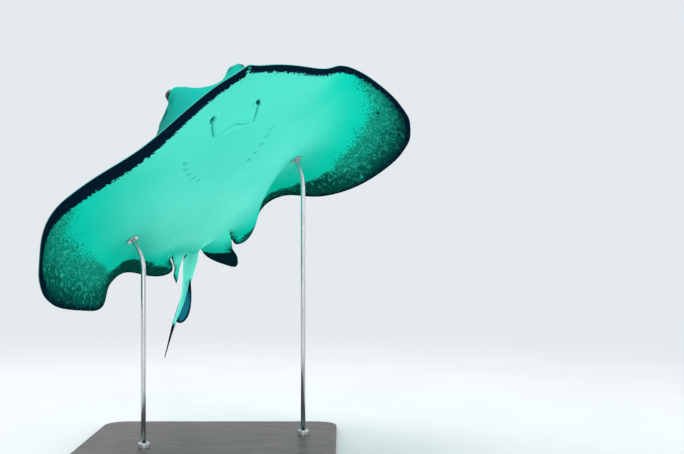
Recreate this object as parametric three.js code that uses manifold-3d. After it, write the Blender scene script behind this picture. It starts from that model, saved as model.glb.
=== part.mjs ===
// A southern stingray, life size, gliding nose up with its wings half lowered,
// held over a flat base by two slim rods.
//
// The animal is drawn flat first and then posed. On the flat drawing a place is given by
// its chord (how far behind the snout it lies) and its span (how far out from the midline),
// both as fractions of the disc width. Height is measured off the middle sheet of the disc,
// up on the back and down on the belly. Posing bends that sheet along the span, and one
// group then turns the whole animal and lifts it over the stand.
//
// Body frame: +X to the animal's right, +Y forward, +Z out of its back, snout at the origin.
// Part frame: +Z up, origin in the middle of the base's underside. Units are millimetres.

import * as THREE from 'three';
import { mergeVertices } from 'three/addons/utils/BufferGeometryUtils.js';
import Module from 'manifold-3d';

// ---------------------------------------------------------------- driving dimensions

const DISC_WIDTH = 1100;
const GAP = 0.3;

// Stance of the whole animal, in degrees, and where the middle of its disc hangs over the base.
const HEADING = 193.6;
const NOSE_UP = 27.6;
const BANK = 24.2;
const DISC_CENTRE = { chord: 0.45, x: 25, y: -75, z: 683 };

// Chord stations along the body, as fractions of the disc width.
const SNOUT_START = 0.0015;
const HEAD_END = 0.30;
const AXIL = 0.735;
const TAIL_ROOT = 0.79;
const LOBE_TIP = 0.87;
const PELVIC_TIP = 0.90;
const TAIL_MIDDLE = 1.10;
const TAIL_WHIP = 1.56;
const TAIL_TIP = 2.0;

// Half thickness of every fin margin.
const EDGE = 0.0013;

// How far the raised body reaches over the wings before it fades into their margins.
const BACK_FADE = 0.85;
const BELLY_FADE = 0.80;
const BELLY_POWER = 2.4;

// How each wing is bent: slopes in degrees, and where along the span they act.
const WINGS = {
  left: {
    side: -1,
    tipDroop: 18.4,
    leadLift: 38.4,
    rootLift: -0.8,
    trailLift: 64.0,
    trailFall: 55.0,
    lobeDrop: 6.0,
    tipCurl: 15.9,
    leadAt: 0.274,
    leadWide: 0.067,
    trailAt: 0.181,
    trailWide: 0.036,
    fallAt: 0.321,
    fallWide: 0.101,
    pelvicDroop: 46,
    pelvicReach: 0.72,
    lobeTuck: 0.0075,
    pelvicSpread: 0.012,
    flare: 0,
  },
  right: {
    side: 1,
    tipDroop: -2.9,
    leadLift: 11.2,
    rootLift: -9.6,
    trailLift: 41.4,
    trailFall: 70.0,
    lobeDrop: -11.6,
    tipCurl: 59.8,
    leadAt: 0.270,
    leadWide: 0.073,
    trailAt: 0.179,
    trailWide: 0.031,
    fallAt: 0.352,
    fallWide: 0.108,
    pelvicDroop: 34,
    pelvicReach: 0.43,
    lobeTuck: 0.0365,
    pelvicSpread: 0.0135,
    flare: 0.0214,
  },
};
// Stretches, along the chord or the span, over which those slopes come in.
const FRONT_BEND = [0.15, 0.60];
const REAR_BEND = [0.40, 0.72];
const LOBE_BEND = [0.72, 0.84];
const LOBE_ROOT = [0.06, 0.10];
const LOBE = { span: 0.12, width: 0.06 };
const TIP_DROOP = [0.12, 0.40];
const TIP_CURL = [0.36, 0.47];
const ROOT_RISE = [0, 0.10];
const ROOT_FALL = [0.15, 0.30];
const SNOUT_DROOP = 0.0165;
const SNOUT_FLAP = 0.14;

// The snout's small point.
const SNOUT = { point: 0.007, width: 0.022 };

// Where a wing's flare draws out its trailing margin: centre and half width along the
// chord, and the span over which it comes in.
const FLARE = { chord: 0.645, width: 0.05, span: [0.20, 0.34] };

// The tuck carries a rear lobe sideways, towards the midline: from this chord on, and
// fading out over these spans.
const TUCK_START = 0.755;
const TUCK_SPAN = [0.10, 0.24];
// A pelvic fin's spread carries it outwards. It grows over these distances from the fin's root
// and ends between these chords.
const SPREAD_WIDTH = [0.03, 0.075];
const SPREAD_END = [0.80, 0.88];

// The raised rim over each eye and the shallow valley between them.
const RIM = { chord: 0.207, length: 0.040, span: 0.063, width: 0.019, rise: 0.027 };
const VALLEY = { chord: 0.195, length: 0.055, width: 0.050, depth: 0.018 };

// Eyes, spiracles, sting and the tail's folds.
const EYE = { chord: 0.205, span: 0.0755, height: 0.1045, radius: 0.0118 };
const SPIRACLE = { chord: 0.243, span: 0.084, height: 0.094, length: 0.021, width: 0.011 };
const STING = { start: 1.09, length: 0.085, halfWidth: 0.0032, thick: 0.0022, rise: 0.010, point: 0.12 };
const FOLD = { start: 0.99, end: 1.47, depth: 0.036, half: 0.0008 };
const KEEL = { start: 1.20, end: 1.78, depth: 0.0055, half: 0.0008 };
const BLADE_STUB = 0.04;

// Tail carriage, in disc widths over its whole length. It leaves the body level, and its
// first stretch bows a little to one side.
const TAIL_LIFT = 0.161;
const TAIL_DRIFT = -0.101;
const TAIL_EASE = 0.06;
const TAIL_BOW = -0.010;
const TAIL_BOW_SHARE = 0.70;

// The rump swings a little to the animal's right, over these chords and inside these spans.
const SWAY = 0.026;
const SWAY_START = 0.58;
const SWAY_SPAN = [0.03, 0.14];

// Pelvic fins: the span over which they turn down, how fast they thin from the root, and
// how far their outer margin stays from the rear lobe.
const PELVIC = { turn: 0.018, turned: 0.785, root: 0.004, thinning: 0.9, trailing: 0.5, clearance: 0.0015 };

// Stand.
const BASE = { width: 640, depth: 560, thick: 15, corner: 60, bevel: 2.5 };
const ROD = { radius: 6, bend: 45, clearance: 1.6 };
const PAD = { radius: 0.016, thick: 0.0036, clearance: 0.0012, steps: 6 };
const COLLAR = { radius: 15, height: 14, chamfer: 4, sides: 20 };
const ROD_SEATS = {
  left: { span: 0.225, chord: 0.52 },
  right: { span: 0.22, chord: 0.54 },
};

// Grid steps of the faceted solids.
const HEAD_ROWS = 12;
const HEAD_GATHER = 1.6;
const TRUNK_ROWS = 13;
const RUMP_ROWS = 4;
const LOBE_ROWS = 5;
const PELVIC_ROWS = 6;
const PELVIC_COLUMNS = 6;
const WING_COLUMNS = 11;
const BODY_COLUMNS = 12;
const BEND_STEPS = 24;
const TAIL_SIDES = 12;
const TAIL_STEPS = { base: 8, middle: 11, whip: 10 };
const BLADE_ROWS = 14;
const BLADE_COLUMNS = 3;
const STING_ROWS = 8;
const ROD_SIDES = 12;
const ROD_STEPS = 18;

// ---------------------------------------------------------------- small mathematics

function smooth(from, to, value) {
  const u = THREE.MathUtils.clamp((value - from) / (to - from), 0, 1);
  return u * u * (3 - 2 * u);
}

function bump(centre, width, value) {
  return Math.exp(-(((value - centre) / width) ** 2));
}

// A curve through a few points that never overshoots between them.
function profile(points) {
  const last = points.length - 1;
  const rise = (k) => (points[k + 1][1] - points[k][1]) / (points[k + 1][0] - points[k][0]);
  const slopes = points.map((_, k) => {
    if (k === 0) return rise(0);
    if (k === last) return rise(last - 1);
    const before = rise(k - 1);
    const after = rise(k);
    return before * after > 0 ? (2 * before * after) / (before + after) : 0;
  });
  return (value) => {
    const v = THREE.MathUtils.clamp(value, points[0][0], points[last][0]);
    let k = 0;
    while (k < last - 1 && v > points[k + 1][0]) k += 1;
    const step = points[k + 1][0] - points[k][0];
    const u = (v - points[k][0]) / step;
    const w = 1 - u;
    return (1 + 2 * u) * w * w * points[k][1]
      + u * w * w * step * slopes[k]
      + u * u * (3 - 2 * u) * points[k + 1][1]
      + u * u * (u - 1) * step * slopes[k + 1];
  };
}

// A profile along the chord that rounds off at the snout and at the rear lobe.
function roundedProfile(points) {
  const turn = (chord) => Math.acos(THREE.MathUtils.clamp(1 - (2 * chord) / LOBE_TIP, -1, 1));
  const curve = profile(points.map(([chord, span]) => [turn(chord), span]));
  return (chord) => curve(turn(chord));
}

function spread(from, to, count) {
  return Array.from({ length: count + 1 }, (_, k) => from + ((to - from) * k) / count);
}

// Stations that gather towards the first one.
function gathered(from, to, count) {
  return spread(0, 1, count).map((u) => from + (to - from) * u ** HEAD_GATHER);
}

// ---------------------------------------------------------------- outline of the disc

// Outer margin: snout, pointed wing tip, rounded rear lobe.
const halfSpan = roundedProfile([
  [0, 0], [0.003, 0.008], [0.012, 0.0265], [0.035, 0.068], [0.10, 0.160], [0.20, 0.284], [0.30, 0.402],
  [0.36, 0.464], [0.41, 0.495], [0.45, 0.5], [0.49, 0.487], [0.55, 0.445], [0.65, 0.355], [0.74, 0.265],
  [0.80, 0.213], [0.854, 0.159], [LOBE_TIP, 0.128],
]);
// Inner margin of the rear lobe. It starts at the axil, where the pelvic fin starts too.
const AXIL_SPAN = 0.078;
const TAIL_HALF = 0.0155;
const lobeInner = roundedProfile([[AXIL, AXIL_SPAN], [0.80, 0.0905], [0.84, 0.1060], [0.858, 0.112], [LOBE_TIP, 0.128]]);
// Where wing and trunk part.
const trunkHalf = profile([
  [0, 0], [0.012, 0.016], [0.035, 0.044], [0.10, 0.092], [0.20, 0.124], [0.35, 0.132], [0.50, 0.122],
  [0.65, 0.097], [AXIL, AXIL_SPAN],
]);
// Trunk behind the axil, and then the tail.
const coreHalf = profile([
  [AXIL, 0.034], [TAIL_ROOT, TAIL_HALF], [0.84, 0.0175], [0.88, 0.0185], [0.96, 0.0158], [1.05, 0.0130],
  [1.17, 0.0095], [1.38, 0.0062], [1.56, 0.0042], [1.8, 0.0023], [TAIL_TIP, 0.0012],
]);
const pelvicOuter = profile([[AXIL, AXIL_SPAN], [0.79, 0.0845], [0.84, 0.102], [0.87, 0.109], [0.89, 0.1075],
  [0.897, 0.103], [PELVIC_TIP, 0.0965]]);
const pelvicInner = profile([[TAIL_ROOT, TAIL_HALF], [0.81, 0.0215], [0.835, 0.029], [0.86, 0.042],
  [0.88, 0.060], [0.893, 0.080], [PELVIC_TIP, 0.0965]]);

function wingRoot(chord) {
  return chord < AXIL ? trunkHalf(chord) : lobeInner(chord);
}

function pelvicRoot(chord) {
  return chord < TAIL_ROOT ? coreHalf(chord) : pelvicInner(chord);
}

// ---------------------------------------------------------------- thickness

const backRise = profile([
  [0, 0], [0.04, 0.002], [0.08, 0.009], [0.12, 0.024], [0.16, 0.057], [0.20, 0.088], [0.26, 0.096],
  [0.34, 0.097], [0.44, 0.090], [0.55, 0.072], [0.66, 0.051], [AXIL, 0.031], [TAIL_ROOT, 0.024],
  [0.88, 0.0185], [0.96, 0.0150], [1.05, 0.0118], [1.17, 0.0082], [1.38, 0.0058], [1.56, 0.0040],
  [1.8, 0.0022], [TAIL_TIP, 0.0012],
]);
const backWidth = profile([[0, 0.03], [0.10, 0.080], [0.20, 0.112], [0.27, 0.146], [0.34, 0.157],
  [0.5, 0.138], [0.66, 0.094], [AXIL, 0.055]]);
const backPower = profile([[0, 2.2], [0.12, 3.2], [0.21, 3.8], [0.34, 3.3], [0.6, 2.2]]);
const bellyDrop = profile([
  [0, 0], [0.06, 0.003], [0.12, 0.009], [0.20, 0.015], [0.35, 0.021], [0.50, 0.023], [0.65, 0.020],
  [AXIL, 0.017], [TAIL_ROOT, 0.015], [0.88, 0.013], [0.96, 0.0115], [1.05, 0.0098], [1.17, 0.0075],
  [1.38, 0.0056], [1.56, 0.0040], [1.8, 0.0022], [TAIL_TIP, 0.0012],
]);
const bellyWidth = profile([[0, 0.04], [0.15, 0.115], [0.40, 0.150], [0.65, 0.105], [AXIL, 0.070]]);
const wingBody = profile([[0, 0.05], [0.08, 0.35], [0.25, 1], [0.5, 1], [0.7, 0.55], [LOBE_TIP, 0.25]]);
const WING_BACK = 0.017;
const WING_BELLY = 0.008;

// Back of the head: raised rims over the eyes, and a shallow valley between them.
function headRelief(span, chord) {
  const rims = RIM.rise * bump(RIM.chord, RIM.length, chord) * bump(RIM.span, RIM.width, span);
  const valley = VALLEY.depth * bump(VALLEY.chord, VALLEY.length, chord) * bump(0, VALLEY.width, span);
  return rims - valley;
}

function discBack(span, chord) {
  const out = Math.min(span / halfSpan(chord), 1);
  const dome = backRise(chord) * Math.exp(-((span / backWidth(chord)) ** backPower(chord)));
  const fade = 1 - smooth(BACK_FADE, 1, out);
  return EDGE + (1 - out * out) * WING_BACK * wingBody(chord) + fade * (dome + headRelief(span, chord));
}

function discBelly(span, chord) {
  const out = Math.min(span / halfSpan(chord), 1);
  const keel = bellyDrop(chord) * Math.exp(-((span / bellyWidth(chord)) ** BELLY_POWER));
  const fade = 1 - smooth(BELLY_FADE, 1, out);
  return EDGE + (1 - out * out) * WING_BELLY * wingBody(chord) + fade * keel;
}

// Behind the axil the trunk draws in to the oval section of the tail.
function coreHeight(rise, disc, span, chord) {
  const oval = rise(chord) * Math.sqrt(Math.max(0, 1 - (span / (coreHalf(chord) * 1.001)) ** 2));
  const turned = smooth(AXIL, TAIL_ROOT, chord);
  return (1 - turned) * disc(span, Math.min(chord, AXIL)) + turned * Math.max(oval, EDGE * 0.5);
}

// Rear lobes thin out towards their inner margin too.
function lobeHeight(disc, span, chord) {
  const inner = lobeInner(chord);
  const thin = smooth(0, 0.03, span - inner);
  const behind = smooth(AXIL, 0.80, chord);
  return EDGE + (disc(span, chord) - EDGE) * (1 - behind * (1 - thin));
}

// ---------------------------------------------------------------- posing

// Slope of the sheet, in radians, at a place on one wing.
function wingSlope(wing, span, chord) {
  const front = 1 - smooth(...FRONT_BEND, chord);
  const rear = smooth(...REAR_BEND, chord);
  const lobe = smooth(...LOBE_ROOT, span) * smooth(...LOBE_BEND, chord) * bump(LOBE.span, LOBE.width, span);
  const degrees = -wing.tipDroop * smooth(...TIP_DROOP, span)
    + wing.leadLift * bump(wing.leadAt, wing.leadWide, span) * front
    + wing.rootLift * smooth(...ROOT_RISE, span) * (1 - smooth(...ROOT_FALL, span))
    + wing.trailLift * bump(wing.trailAt, wing.trailWide, span) * rear
    - wing.trailFall * bump(wing.fallAt, wing.fallWide, span) * rear
    - wing.lobeDrop * lobe
    - wing.tipCurl * smooth(...TIP_CURL, span);
  return THREE.MathUtils.degToRad(degrees);
}

function sway(chord) {
  return SWAY * smooth(SWAY_START, TAIL_ROOT, chord);
}

function pelvicSlope(wing, span, chord) {
  const root = coreHalf(Math.min(chord, TAIL_ROOT));
  const turned = smooth(root, root + PELVIC.turn, span) * smooth(AXIL, PELVIC.turned, chord);
  return wingSlope(wing, span, chord) - THREE.MathUtils.degToRad(wing.pelvicDroop) * turned;
}

// A place on the flat drawing, carried to the posed body in millimetres.
function posed(wing, slope, span, chord, height) {
  let x = 0;
  let z = -SNOUT_DROOP * Math.max(0, 1 - chord / SNOUT_FLAP) ** 2;
  const step = span / BEND_STEPS;
  for (let k = 0; k < BEND_STEPS; k += 1) {
    const angle = slope(wing, (k + 0.5) * step, chord);
    x += Math.cos(angle) * step;
    z += Math.sin(angle) * step;
  }
  const end = slope(wing, span, chord);
  const flare = wing.flare * bump(FLARE.chord, FLARE.width, chord) * smooth(...FLARE.span, span);
  x += Math.cos(end) * flare - Math.sin(end) * height;
  z += Math.sin(end) * flare + Math.cos(end) * height;
  const swayed = sway(chord) * (1 - smooth(...SWAY_SPAN, span));
  const ahead = SNOUT.point * bump(0, SNOUT.width, span) * bump(0, SNOUT.width, chord);
  return new THREE.Vector3(wing.side * x + swayed, ahead - chord, z).multiplyScalar(DISC_WIDTH);
}

// Middle line of the tail.
function tailCentre(chord) {
  const along = Math.max(0, (chord - TAIL_ROOT) / (TAIL_TIP - TAIL_ROOT));
  const eased = along - TAIL_EASE * (1 - Math.exp(-along / TAIL_EASE));
  const bow = TAIL_BOW * Math.sin(Math.PI * Math.min(1, along / TAIL_BOW_SHARE)) ** 2;
  const across = sway(chord) + TAIL_DRIFT * eased + bow;
  return new THREE.Vector3(across, -chord, TAIL_LIFT * eased).multiplyScalar(DISC_WIDTH);
}

function tailFrame(chord) {
  const tangent = tailCentre(chord + 0.004).sub(tailCentre(chord)).normalize();
  const right = new THREE.Vector3().crossVectors(tangent, new THREE.Vector3(0, 0, 1)).normalize();
  const up = new THREE.Vector3().crossVectors(right, tangent).normalize();
  return { centre: tailCentre(chord), right, up };
}

function tailPoint(chord, sideways, height) {
  const { centre, right, up } = tailFrame(chord);
  return centre.addScaledVector(right, sideways * DISC_WIDTH).addScaledVector(up, height * DISC_WIDTH);
}

// ---------------------------------------------------------------- closed faceted solids

function closedGeometry(points, triangles) {
  let volume = 0;
  const cross = new THREE.Vector3();
  for (const [a, b, c] of triangles) {
    volume += points[a].dot(cross.crossVectors(points[b], points[c]));
  }
  const facing = volume < 0 ? triangles.map(([a, b, c]) => [a, c, b]) : triangles;
  const geometry = new THREE.BufferGeometry();
  geometry.setAttribute('position', new THREE.Float32BufferAttribute(points.flatMap((p) => p.toArray()), 3));
  geometry.setIndex(facing.flat());
  return geometry;
}

// A slab with one grid of points above, one below, and walls round its rim.
function slab(above, below) {
  const rows = above.length;
  const columns = above[0].length;
  const points = [...above.flat(), ...below.flat()];
  const under = rows * columns;
  const at = (i, j) => i * columns + j;
  const triangles = [];
  const quad = (a, b, c, d) => triangles.push([a, b, c], [a, c, d]);
  for (let i = 0; i < rows - 1; i += 1) {
    for (let j = 0; j < columns - 1; j += 1) {
      quad(at(i, j), at(i, j + 1), at(i + 1, j + 1), at(i + 1, j));
      quad(under + at(i, j), under + at(i + 1, j), under + at(i + 1, j + 1), under + at(i, j + 1));
    }
  }
  const wall = (a, b) => quad(a, b, b + under, a + under);
  for (let i = 0; i < rows - 1; i += 1) {
    wall(at(i, 0), at(i + 1, 0));
    wall(at(i + 1, columns - 1), at(i, columns - 1));
  }
  for (let j = 0; j < columns - 1; j += 1) {
    wall(at(0, j + 1), at(0, j));
    wall(at(rows - 1, j), at(rows - 1, j + 1));
  }
  return closedGeometry(points, triangles);
}

// A skin over a row of closed rings, capped at both ends.
function loft(rings) {
  const sides = rings[0].length;
  const points = rings.flat();
  const triangles = [];
  for (let i = 0; i < rings.length - 1; i += 1) {
    for (let j = 0; j < sides; j += 1) {
      const next = (j + 1) % sides;
      const a = i * sides + j;
      const b = i * sides + next;
      triangles.push([a, b, b + sides], [a, b + sides, a + sides]);
    }
  }
  const end = (rings.length - 1) * sides;
  for (let j = 1; j < sides - 1; j += 1) {
    triangles.push([0, j + 1, j], [end, end + j, end + j + 1]);
  }
  return closedGeometry(points, triangles);
}

// ---------------------------------------------------------------- parts of the animal

const HALF_GAP = GAP / DISC_WIDTH / 2;

// Head, trunk and wings share these stations, so their walls run side by side.
const HEAD_CHORDS = gathered(SNOUT_START, HEAD_END, HEAD_ROWS);
const TRUNK_CHORDS = spread(HEAD_END, AXIL, TRUNK_ROWS);
const RUMP_CHORDS = spread(AXIL + HALF_GAP, TAIL_ROOT - HALF_GAP, RUMP_ROWS);

function wingGeometry(wing) {
  const ahead = [...HEAD_CHORDS, ...TRUNK_CHORDS.slice(1)];
  const behind = spread(AXIL, LOBE_TIP - EDGE, LOBE_ROWS).slice(1);
  const grid = (disc, sign) => [...ahead, ...behind].map((chord) => {
    const from = wingRoot(chord) + HALF_GAP * (chord <= AXIL ? 1 : 0);
    return spread(0, 1, WING_COLUMNS).map((u) => {
      const span = from + (halfSpan(chord) - from) * u;
      const height = chord > AXIL ? lobeHeight(disc, span, chord) : disc(span, chord);
      const point = posed(wing, wingSlope, span, chord, sign * height);
      const inner = 1 - smooth(...TUCK_SPAN, span);
      point.x -= wing.side * wing.lobeTuck * inner * smooth(TUCK_START, LOBE_TIP, chord) * DISC_WIDTH;
      return point;
    });
  });
  return slab(grid(discBack, 1), grid(discBelly, -1));
}

// A middle block of the disc, from one chord to another, both sides of the midline.
function middleGeometry(chords, halfWidth, back, belly) {
  const grid = (heightAt, sign) => chords.map((chord) => spread(-1, 1, BODY_COLUMNS).map((u) => {
    const wing = u < 0 ? WINGS.left : WINGS.right;
    const span = Math.abs(u) * (halfWidth(chord) - HALF_GAP);
    return posed(wing, wingSlope, span, chord, sign * heightAt(span, chord));
  }));
  return slab(grid(back, 1), grid(belly, -1));
}

function pelvicGeometry(wing) {
  const chords = [...RUMP_CHORDS, ...spread(TAIL_ROOT, PELVIC_TIP - EDGE, PELVIC_ROWS).slice(1)];
  const root = (disc, rise, chord) => coreHeight(rise, disc, coreHalf(chord), chord);
  const grid = (disc, rise, sign) => chords.map((chord) => spread(0, 1, PELVIC_COLUMNS).map((u) => {
    const inner = pelvicRoot(chord) + HALF_GAP * 2;
    const span = inner + (pelvicOuter(chord) - PELVIC.clearance - inner) * u;
    const thick = Math.max(root(disc, rise, Math.min(chord, TAIL_ROOT)), PELVIC.root);
    const rounded = Math.sin(Math.PI * Math.max(u, 0.5)) * PELVIC.trailing;
    const share = chord < TAIL_ROOT ? 1 - u : rounded;
    const height = EDGE + (thick - EDGE) * share * share * PELVIC.thinning;
    const drawn = chord < TAIL_ROOT ? chord : TAIL_ROOT + (chord - TAIL_ROOT) * wing.pelvicReach;
    const point = posed(wing, pelvicSlope, span, drawn, sign * height);
    const away = smooth(...SPREAD_WIDTH, span - coreHalf(Math.min(chord, TAIL_ROOT)))
      * smooth(AXIL, TAIL_ROOT, chord) * (1 - smooth(...SPREAD_END, chord));
    point.x += wing.side * wing.pelvicSpread * away * DISC_WIDTH;
    return point;
  }));
  return slab(grid(discBack, backRise, 1), grid(discBelly, bellyDrop, -1));
}

// One length of the tail. Its ends draw back by the gap between neighbours.
function tailGeometry(from, to, steps) {
  const turns = spread(0, 2 * Math.PI, TAIL_SIDES).slice(1);
  const end = to < TAIL_TIP ? to - HALF_GAP : TAIL_TIP;
  return loft(spread(from + HALF_GAP, end, steps).map((chord) => turns.map((turn) => {
    const height = Math.sin(turn) > 0 ? backRise(chord) : bellyDrop(chord);
    return tailPoint(chord, Math.cos(turn) * coreHalf(chord), Math.sin(turn) * height);
  })));
}

// A thin blade standing on the tail: sign +1 on its back, -1 under it.
function bladeGeometry(blade, sign, shape) {
  const rise = sign > 0 ? backRise : bellyDrop;
  const chords = spread(blade.start, blade.end, BLADE_ROWS);
  const grid = (side) => chords.map((chord) => spread(0, 1, BLADE_COLUMNS).map((u) => {
    const along = (chord - blade.start) / (blade.end - blade.start);
    const foot = rise(chord) + 2 * HALF_GAP;
    const height = foot + blade.depth * u * Math.max(shape(along), BLADE_STUB);
    return tailPoint(chord, side * blade.half, sign * height);
  }));
  return slab(grid(1), grid(-1));
}

function stingGeometry() {
  const section = [[-1, 0], [-0.45, 1], [0.45, 1], [1, 0]];
  const rings = spread(0, 1, STING_ROWS).map((u) => {
    const chord = STING.start + STING.length * u;
    const half = STING.halfWidth * Math.max(1 - u ** 2.2, STING.point);
    const thick = STING.thick * Math.max(1 - u * u, STING.point * 2);
    const foot = backRise(STING.start) + 3 * HALF_GAP + STING.rise * u;
    return section.map(([across, up]) => tailPoint(chord, across * half, foot + up * thick));
  });
  return loft(rings);
}

// ---------------------------------------------------------------- eyes and spiracles

const wasm = await Module();
wasm.setup();

function toManifold(geometry) {
  const bare = geometry.clone();
  bare.deleteAttribute('normal');
  bare.deleteAttribute('uv');
  const merged = mergeVertices(bare, 1e-4);
  return new wasm.Manifold(new wasm.Mesh({
    numProp: 3,
    vertProperties: new Float32Array(merged.attributes.position.array),
    triVerts: new Uint32Array(merged.index.array),
  }));
}

function fromManifold(solid) {
  const mesh = solid.getMesh();
  const geometry = new THREE.BufferGeometry();
  geometry.setAttribute('position', new THREE.BufferAttribute(new Float32Array(mesh.vertProperties), 3));
  geometry.setIndex(new THREE.BufferAttribute(new Uint32Array(mesh.triVerts), 1));
  return geometry;
}

// An oval ball, placed in the head's frame.
function ball(wing, place, radii) {
  const geometry = new THREE.SphereGeometry(1, 14, 9);
  geometry.scale(...radii.map((radius) => radius * DISC_WIDTH));
  const centre = posed(wing, wingSlope, place.span, place.chord, place.height);
  geometry.translate(centre.x, centre.y, centre.z);
  return geometry;
}

function eyeBall(wing, extra) {
  const radius = EYE.radius + extra;
  return ball(wing, EYE, [radius, radius, radius]);
}

function headGeometry() {
  const chords = [...HEAD_CHORDS.slice(0, -1), HEAD_END - HALF_GAP];
  let head = toManifold(middleGeometry(chords, trunkHalf, discBack, discBelly));
  for (const wing of Object.values(WINGS)) {
    head = head.subtract(toManifold(eyeBall(wing, 2 * HALF_GAP)));
    const pit = ball(wing, SPIRACLE, [SPIRACLE.width, SPIRACLE.length, SPIRACLE.width]);
    head = head.subtract(toManifold(pit));
  }
  return fromManifold(head);
}

function trunkGeometry() {
  const chords = [HEAD_END + HALF_GAP, ...TRUNK_CHORDS.slice(1, -1), AXIL - HALF_GAP];
  return middleGeometry(chords, trunkHalf, discBack, discBelly);
}

// The narrow rear of the trunk, between the pelvic fins.
function rumpGeometry() {
  const back = (span, chord) => coreHeight(backRise, discBack, span, chord);
  const belly = (span, chord) => coreHeight(bellyDrop, discBelly, span, chord);
  return middleGeometry(RUMP_CHORDS, coreHalf, back, belly);
}

// ---------------------------------------------------------------- finishes

function finish(colour, roughness, metalness = 0) {
  return new THREE.MeshStandardMaterial({ color: colour, roughness, metalness });
}

const BODY_SKIN = finish(0x5fd8c0, 0.42);
const FIN_SKIN = finish(0x2fa792, 0.45);
const TAIL_SKIN = finish(0x4cc5b2, 0.45);
const DARK_SKIN = finish(0x0d3136, 0.5);
const EYE_GLOSS = finish(0x10181a, 0.1);
const STING_BONE = finish(0xb9c4b0, 0.4);
const BASE_PAINT = finish(0x3a3d40, 0.55, 0.2);
const ROD_STEEL = finish(0xb8bcc0, 0.3, 1);

function named(name, geometry, material) {
  const mesh = new THREE.Mesh(geometry, material);
  mesh.name = name;
  return mesh;
}

// ---------------------------------------------------------------- the animal

const ray = new THREE.Group();
const stance = new THREE.Euler(
  THREE.MathUtils.degToRad(NOSE_UP),
  THREE.MathUtils.degToRad(BANK),
  THREE.MathUtils.degToRad(HEADING),
  'ZXY',
);
ray.rotation.copy(stance);
const discCentre = new THREE.Vector3(0, -DISC_CENTRE.chord * DISC_WIDTH, 0).applyEuler(stance);
ray.position.copy(DISC_CENTRE).sub(discCentre);
ray.updateMatrixWorld(true);

ray.add(named('head', headGeometry(), BODY_SKIN));
ray.add(named('trunk', trunkGeometry(), BODY_SKIN));
ray.add(named('rump', rumpGeometry(), BODY_SKIN));
for (const [side, wing] of Object.entries(WINGS)) {
  ray.add(named(`pectoral_fin_${side}`, wingGeometry(wing), FIN_SKIN));
  ray.add(named(`pelvic_fin_${side}`, pelvicGeometry(wing), DARK_SKIN));
  ray.add(named(`eye_${side}`, eyeBall(wing, 0), EYE_GLOSS));
}
ray.add(named('tail_base', tailGeometry(TAIL_ROOT, TAIL_MIDDLE, TAIL_STEPS.base), TAIL_SKIN));
ray.add(named('tail_middle', tailGeometry(TAIL_MIDDLE, TAIL_WHIP, TAIL_STEPS.middle), TAIL_SKIN));
ray.add(named('tail_whip', tailGeometry(TAIL_WHIP, TAIL_TIP, TAIL_STEPS.whip), DARK_SKIN));
const foldShape = (u) => Math.sin(Math.PI * u ** 1.25) ** 0.6;
const keelShape = (u) => Math.sin(Math.PI * Math.sqrt(u));
ray.add(named('tail_fold', bladeGeometry(FOLD, -1, foldShape), DARK_SKIN));
ray.add(named('tail_keel', bladeGeometry(KEEL, 1, keelShape), DARK_SKIN));
ray.add(named('tail_sting', stingGeometry(), STING_BONE));

// ---------------------------------------------------------------- the stand

const stand = new THREE.Group();

function baseGeometry() {
  const x = BASE.width / 2 - BASE.bevel;
  const y = BASE.depth / 2 - BASE.bevel;
  const r = BASE.corner;
  const outline = new THREE.Shape();
  outline.moveTo(r - x, -y);
  outline.lineTo(x - r, -y);
  outline.absarc(x - r, r - y, r, -Math.PI / 2, 0);
  outline.lineTo(x, y - r);
  outline.absarc(x - r, y - r, r, 0, Math.PI / 2);
  outline.lineTo(r - x, y);
  outline.absarc(r - x, y - r, r, Math.PI / 2, Math.PI);
  outline.lineTo(-x, r - y);
  outline.absarc(r - x, r - y, r, Math.PI, 1.5 * Math.PI);
  const geometry = new THREE.ExtrudeGeometry(outline, {
    depth: BASE.thick - 2 * BASE.bevel,
    bevelEnabled: true,
    bevelThickness: BASE.bevel,
    bevelSize: BASE.bevel,
    bevelSegments: 2,
    curveSegments: 4,
  });
  return geometry.translate(0, 0, BASE.bevel);
}

stand.add(named('stand_base', baseGeometry(), BASE_PAINT));

// A rod climbs straight up, leans over near its top and meets the skin square on.
function rodGeometry(top, away) {
  const knee = top.clone().addScaledVector(away, ROD.bend);
  const shoulder = knee.clone();
  shoulder.z -= ROD.bend;
  const foot = new THREE.Vector3(knee.x, knee.y, BASE.thick + GAP);
  const path = new THREE.CurvePath();
  path.add(new THREE.LineCurve3(foot, shoulder));
  path.add(new THREE.QuadraticBezierCurve3(shoulder, knee, top));
  const section = new THREE.Shape();
  section.absarc(0, 0, ROD.radius, 0, 2 * Math.PI);
  const geometry = new THREE.ExtrudeGeometry(section, {
    steps: ROD_STEPS,
    curveSegments: ROD_SIDES / 2,
    extrudePath: path,
  });
  return { geometry, foot };
}

function collarGeometry() {
  const inner = ROD.radius + GAP;
  const { radius, height, chamfer } = COLLAR;
  const geometry = new THREE.LatheGeometry([
    new THREE.Vector2(inner, 0),
    new THREE.Vector2(radius, 0),
    new THREE.Vector2(radius, height - chamfer),
    new THREE.Vector2(radius - chamfer, height),
    new THREE.Vector2(inner, height),
    new THREE.Vector2(inner, 0),
  ], COLLAR.sides);
  return geometry.rotateX(Math.PI / 2);
}

// A round pad that follows the belly above it. Its sizes are fractions of the disc width.
function padGeometry(wing, seat) {
  const across = spread(-1, 1, PAD.steps);
  const grid = (depth) => across.map((a) => across.map((b) => {
    const chord = seat.chord + PAD.radius * a * Math.sqrt(1 - (b * b) / 2);
    const span = seat.span + PAD.radius * b * Math.sqrt(1 - (a * a) / 2);
    return posed(wing, wingSlope, span, chord, -discBelly(span, chord) - depth);
  }));
  return slab(grid(PAD.clearance), grid(PAD.clearance + PAD.thick));
}

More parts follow.
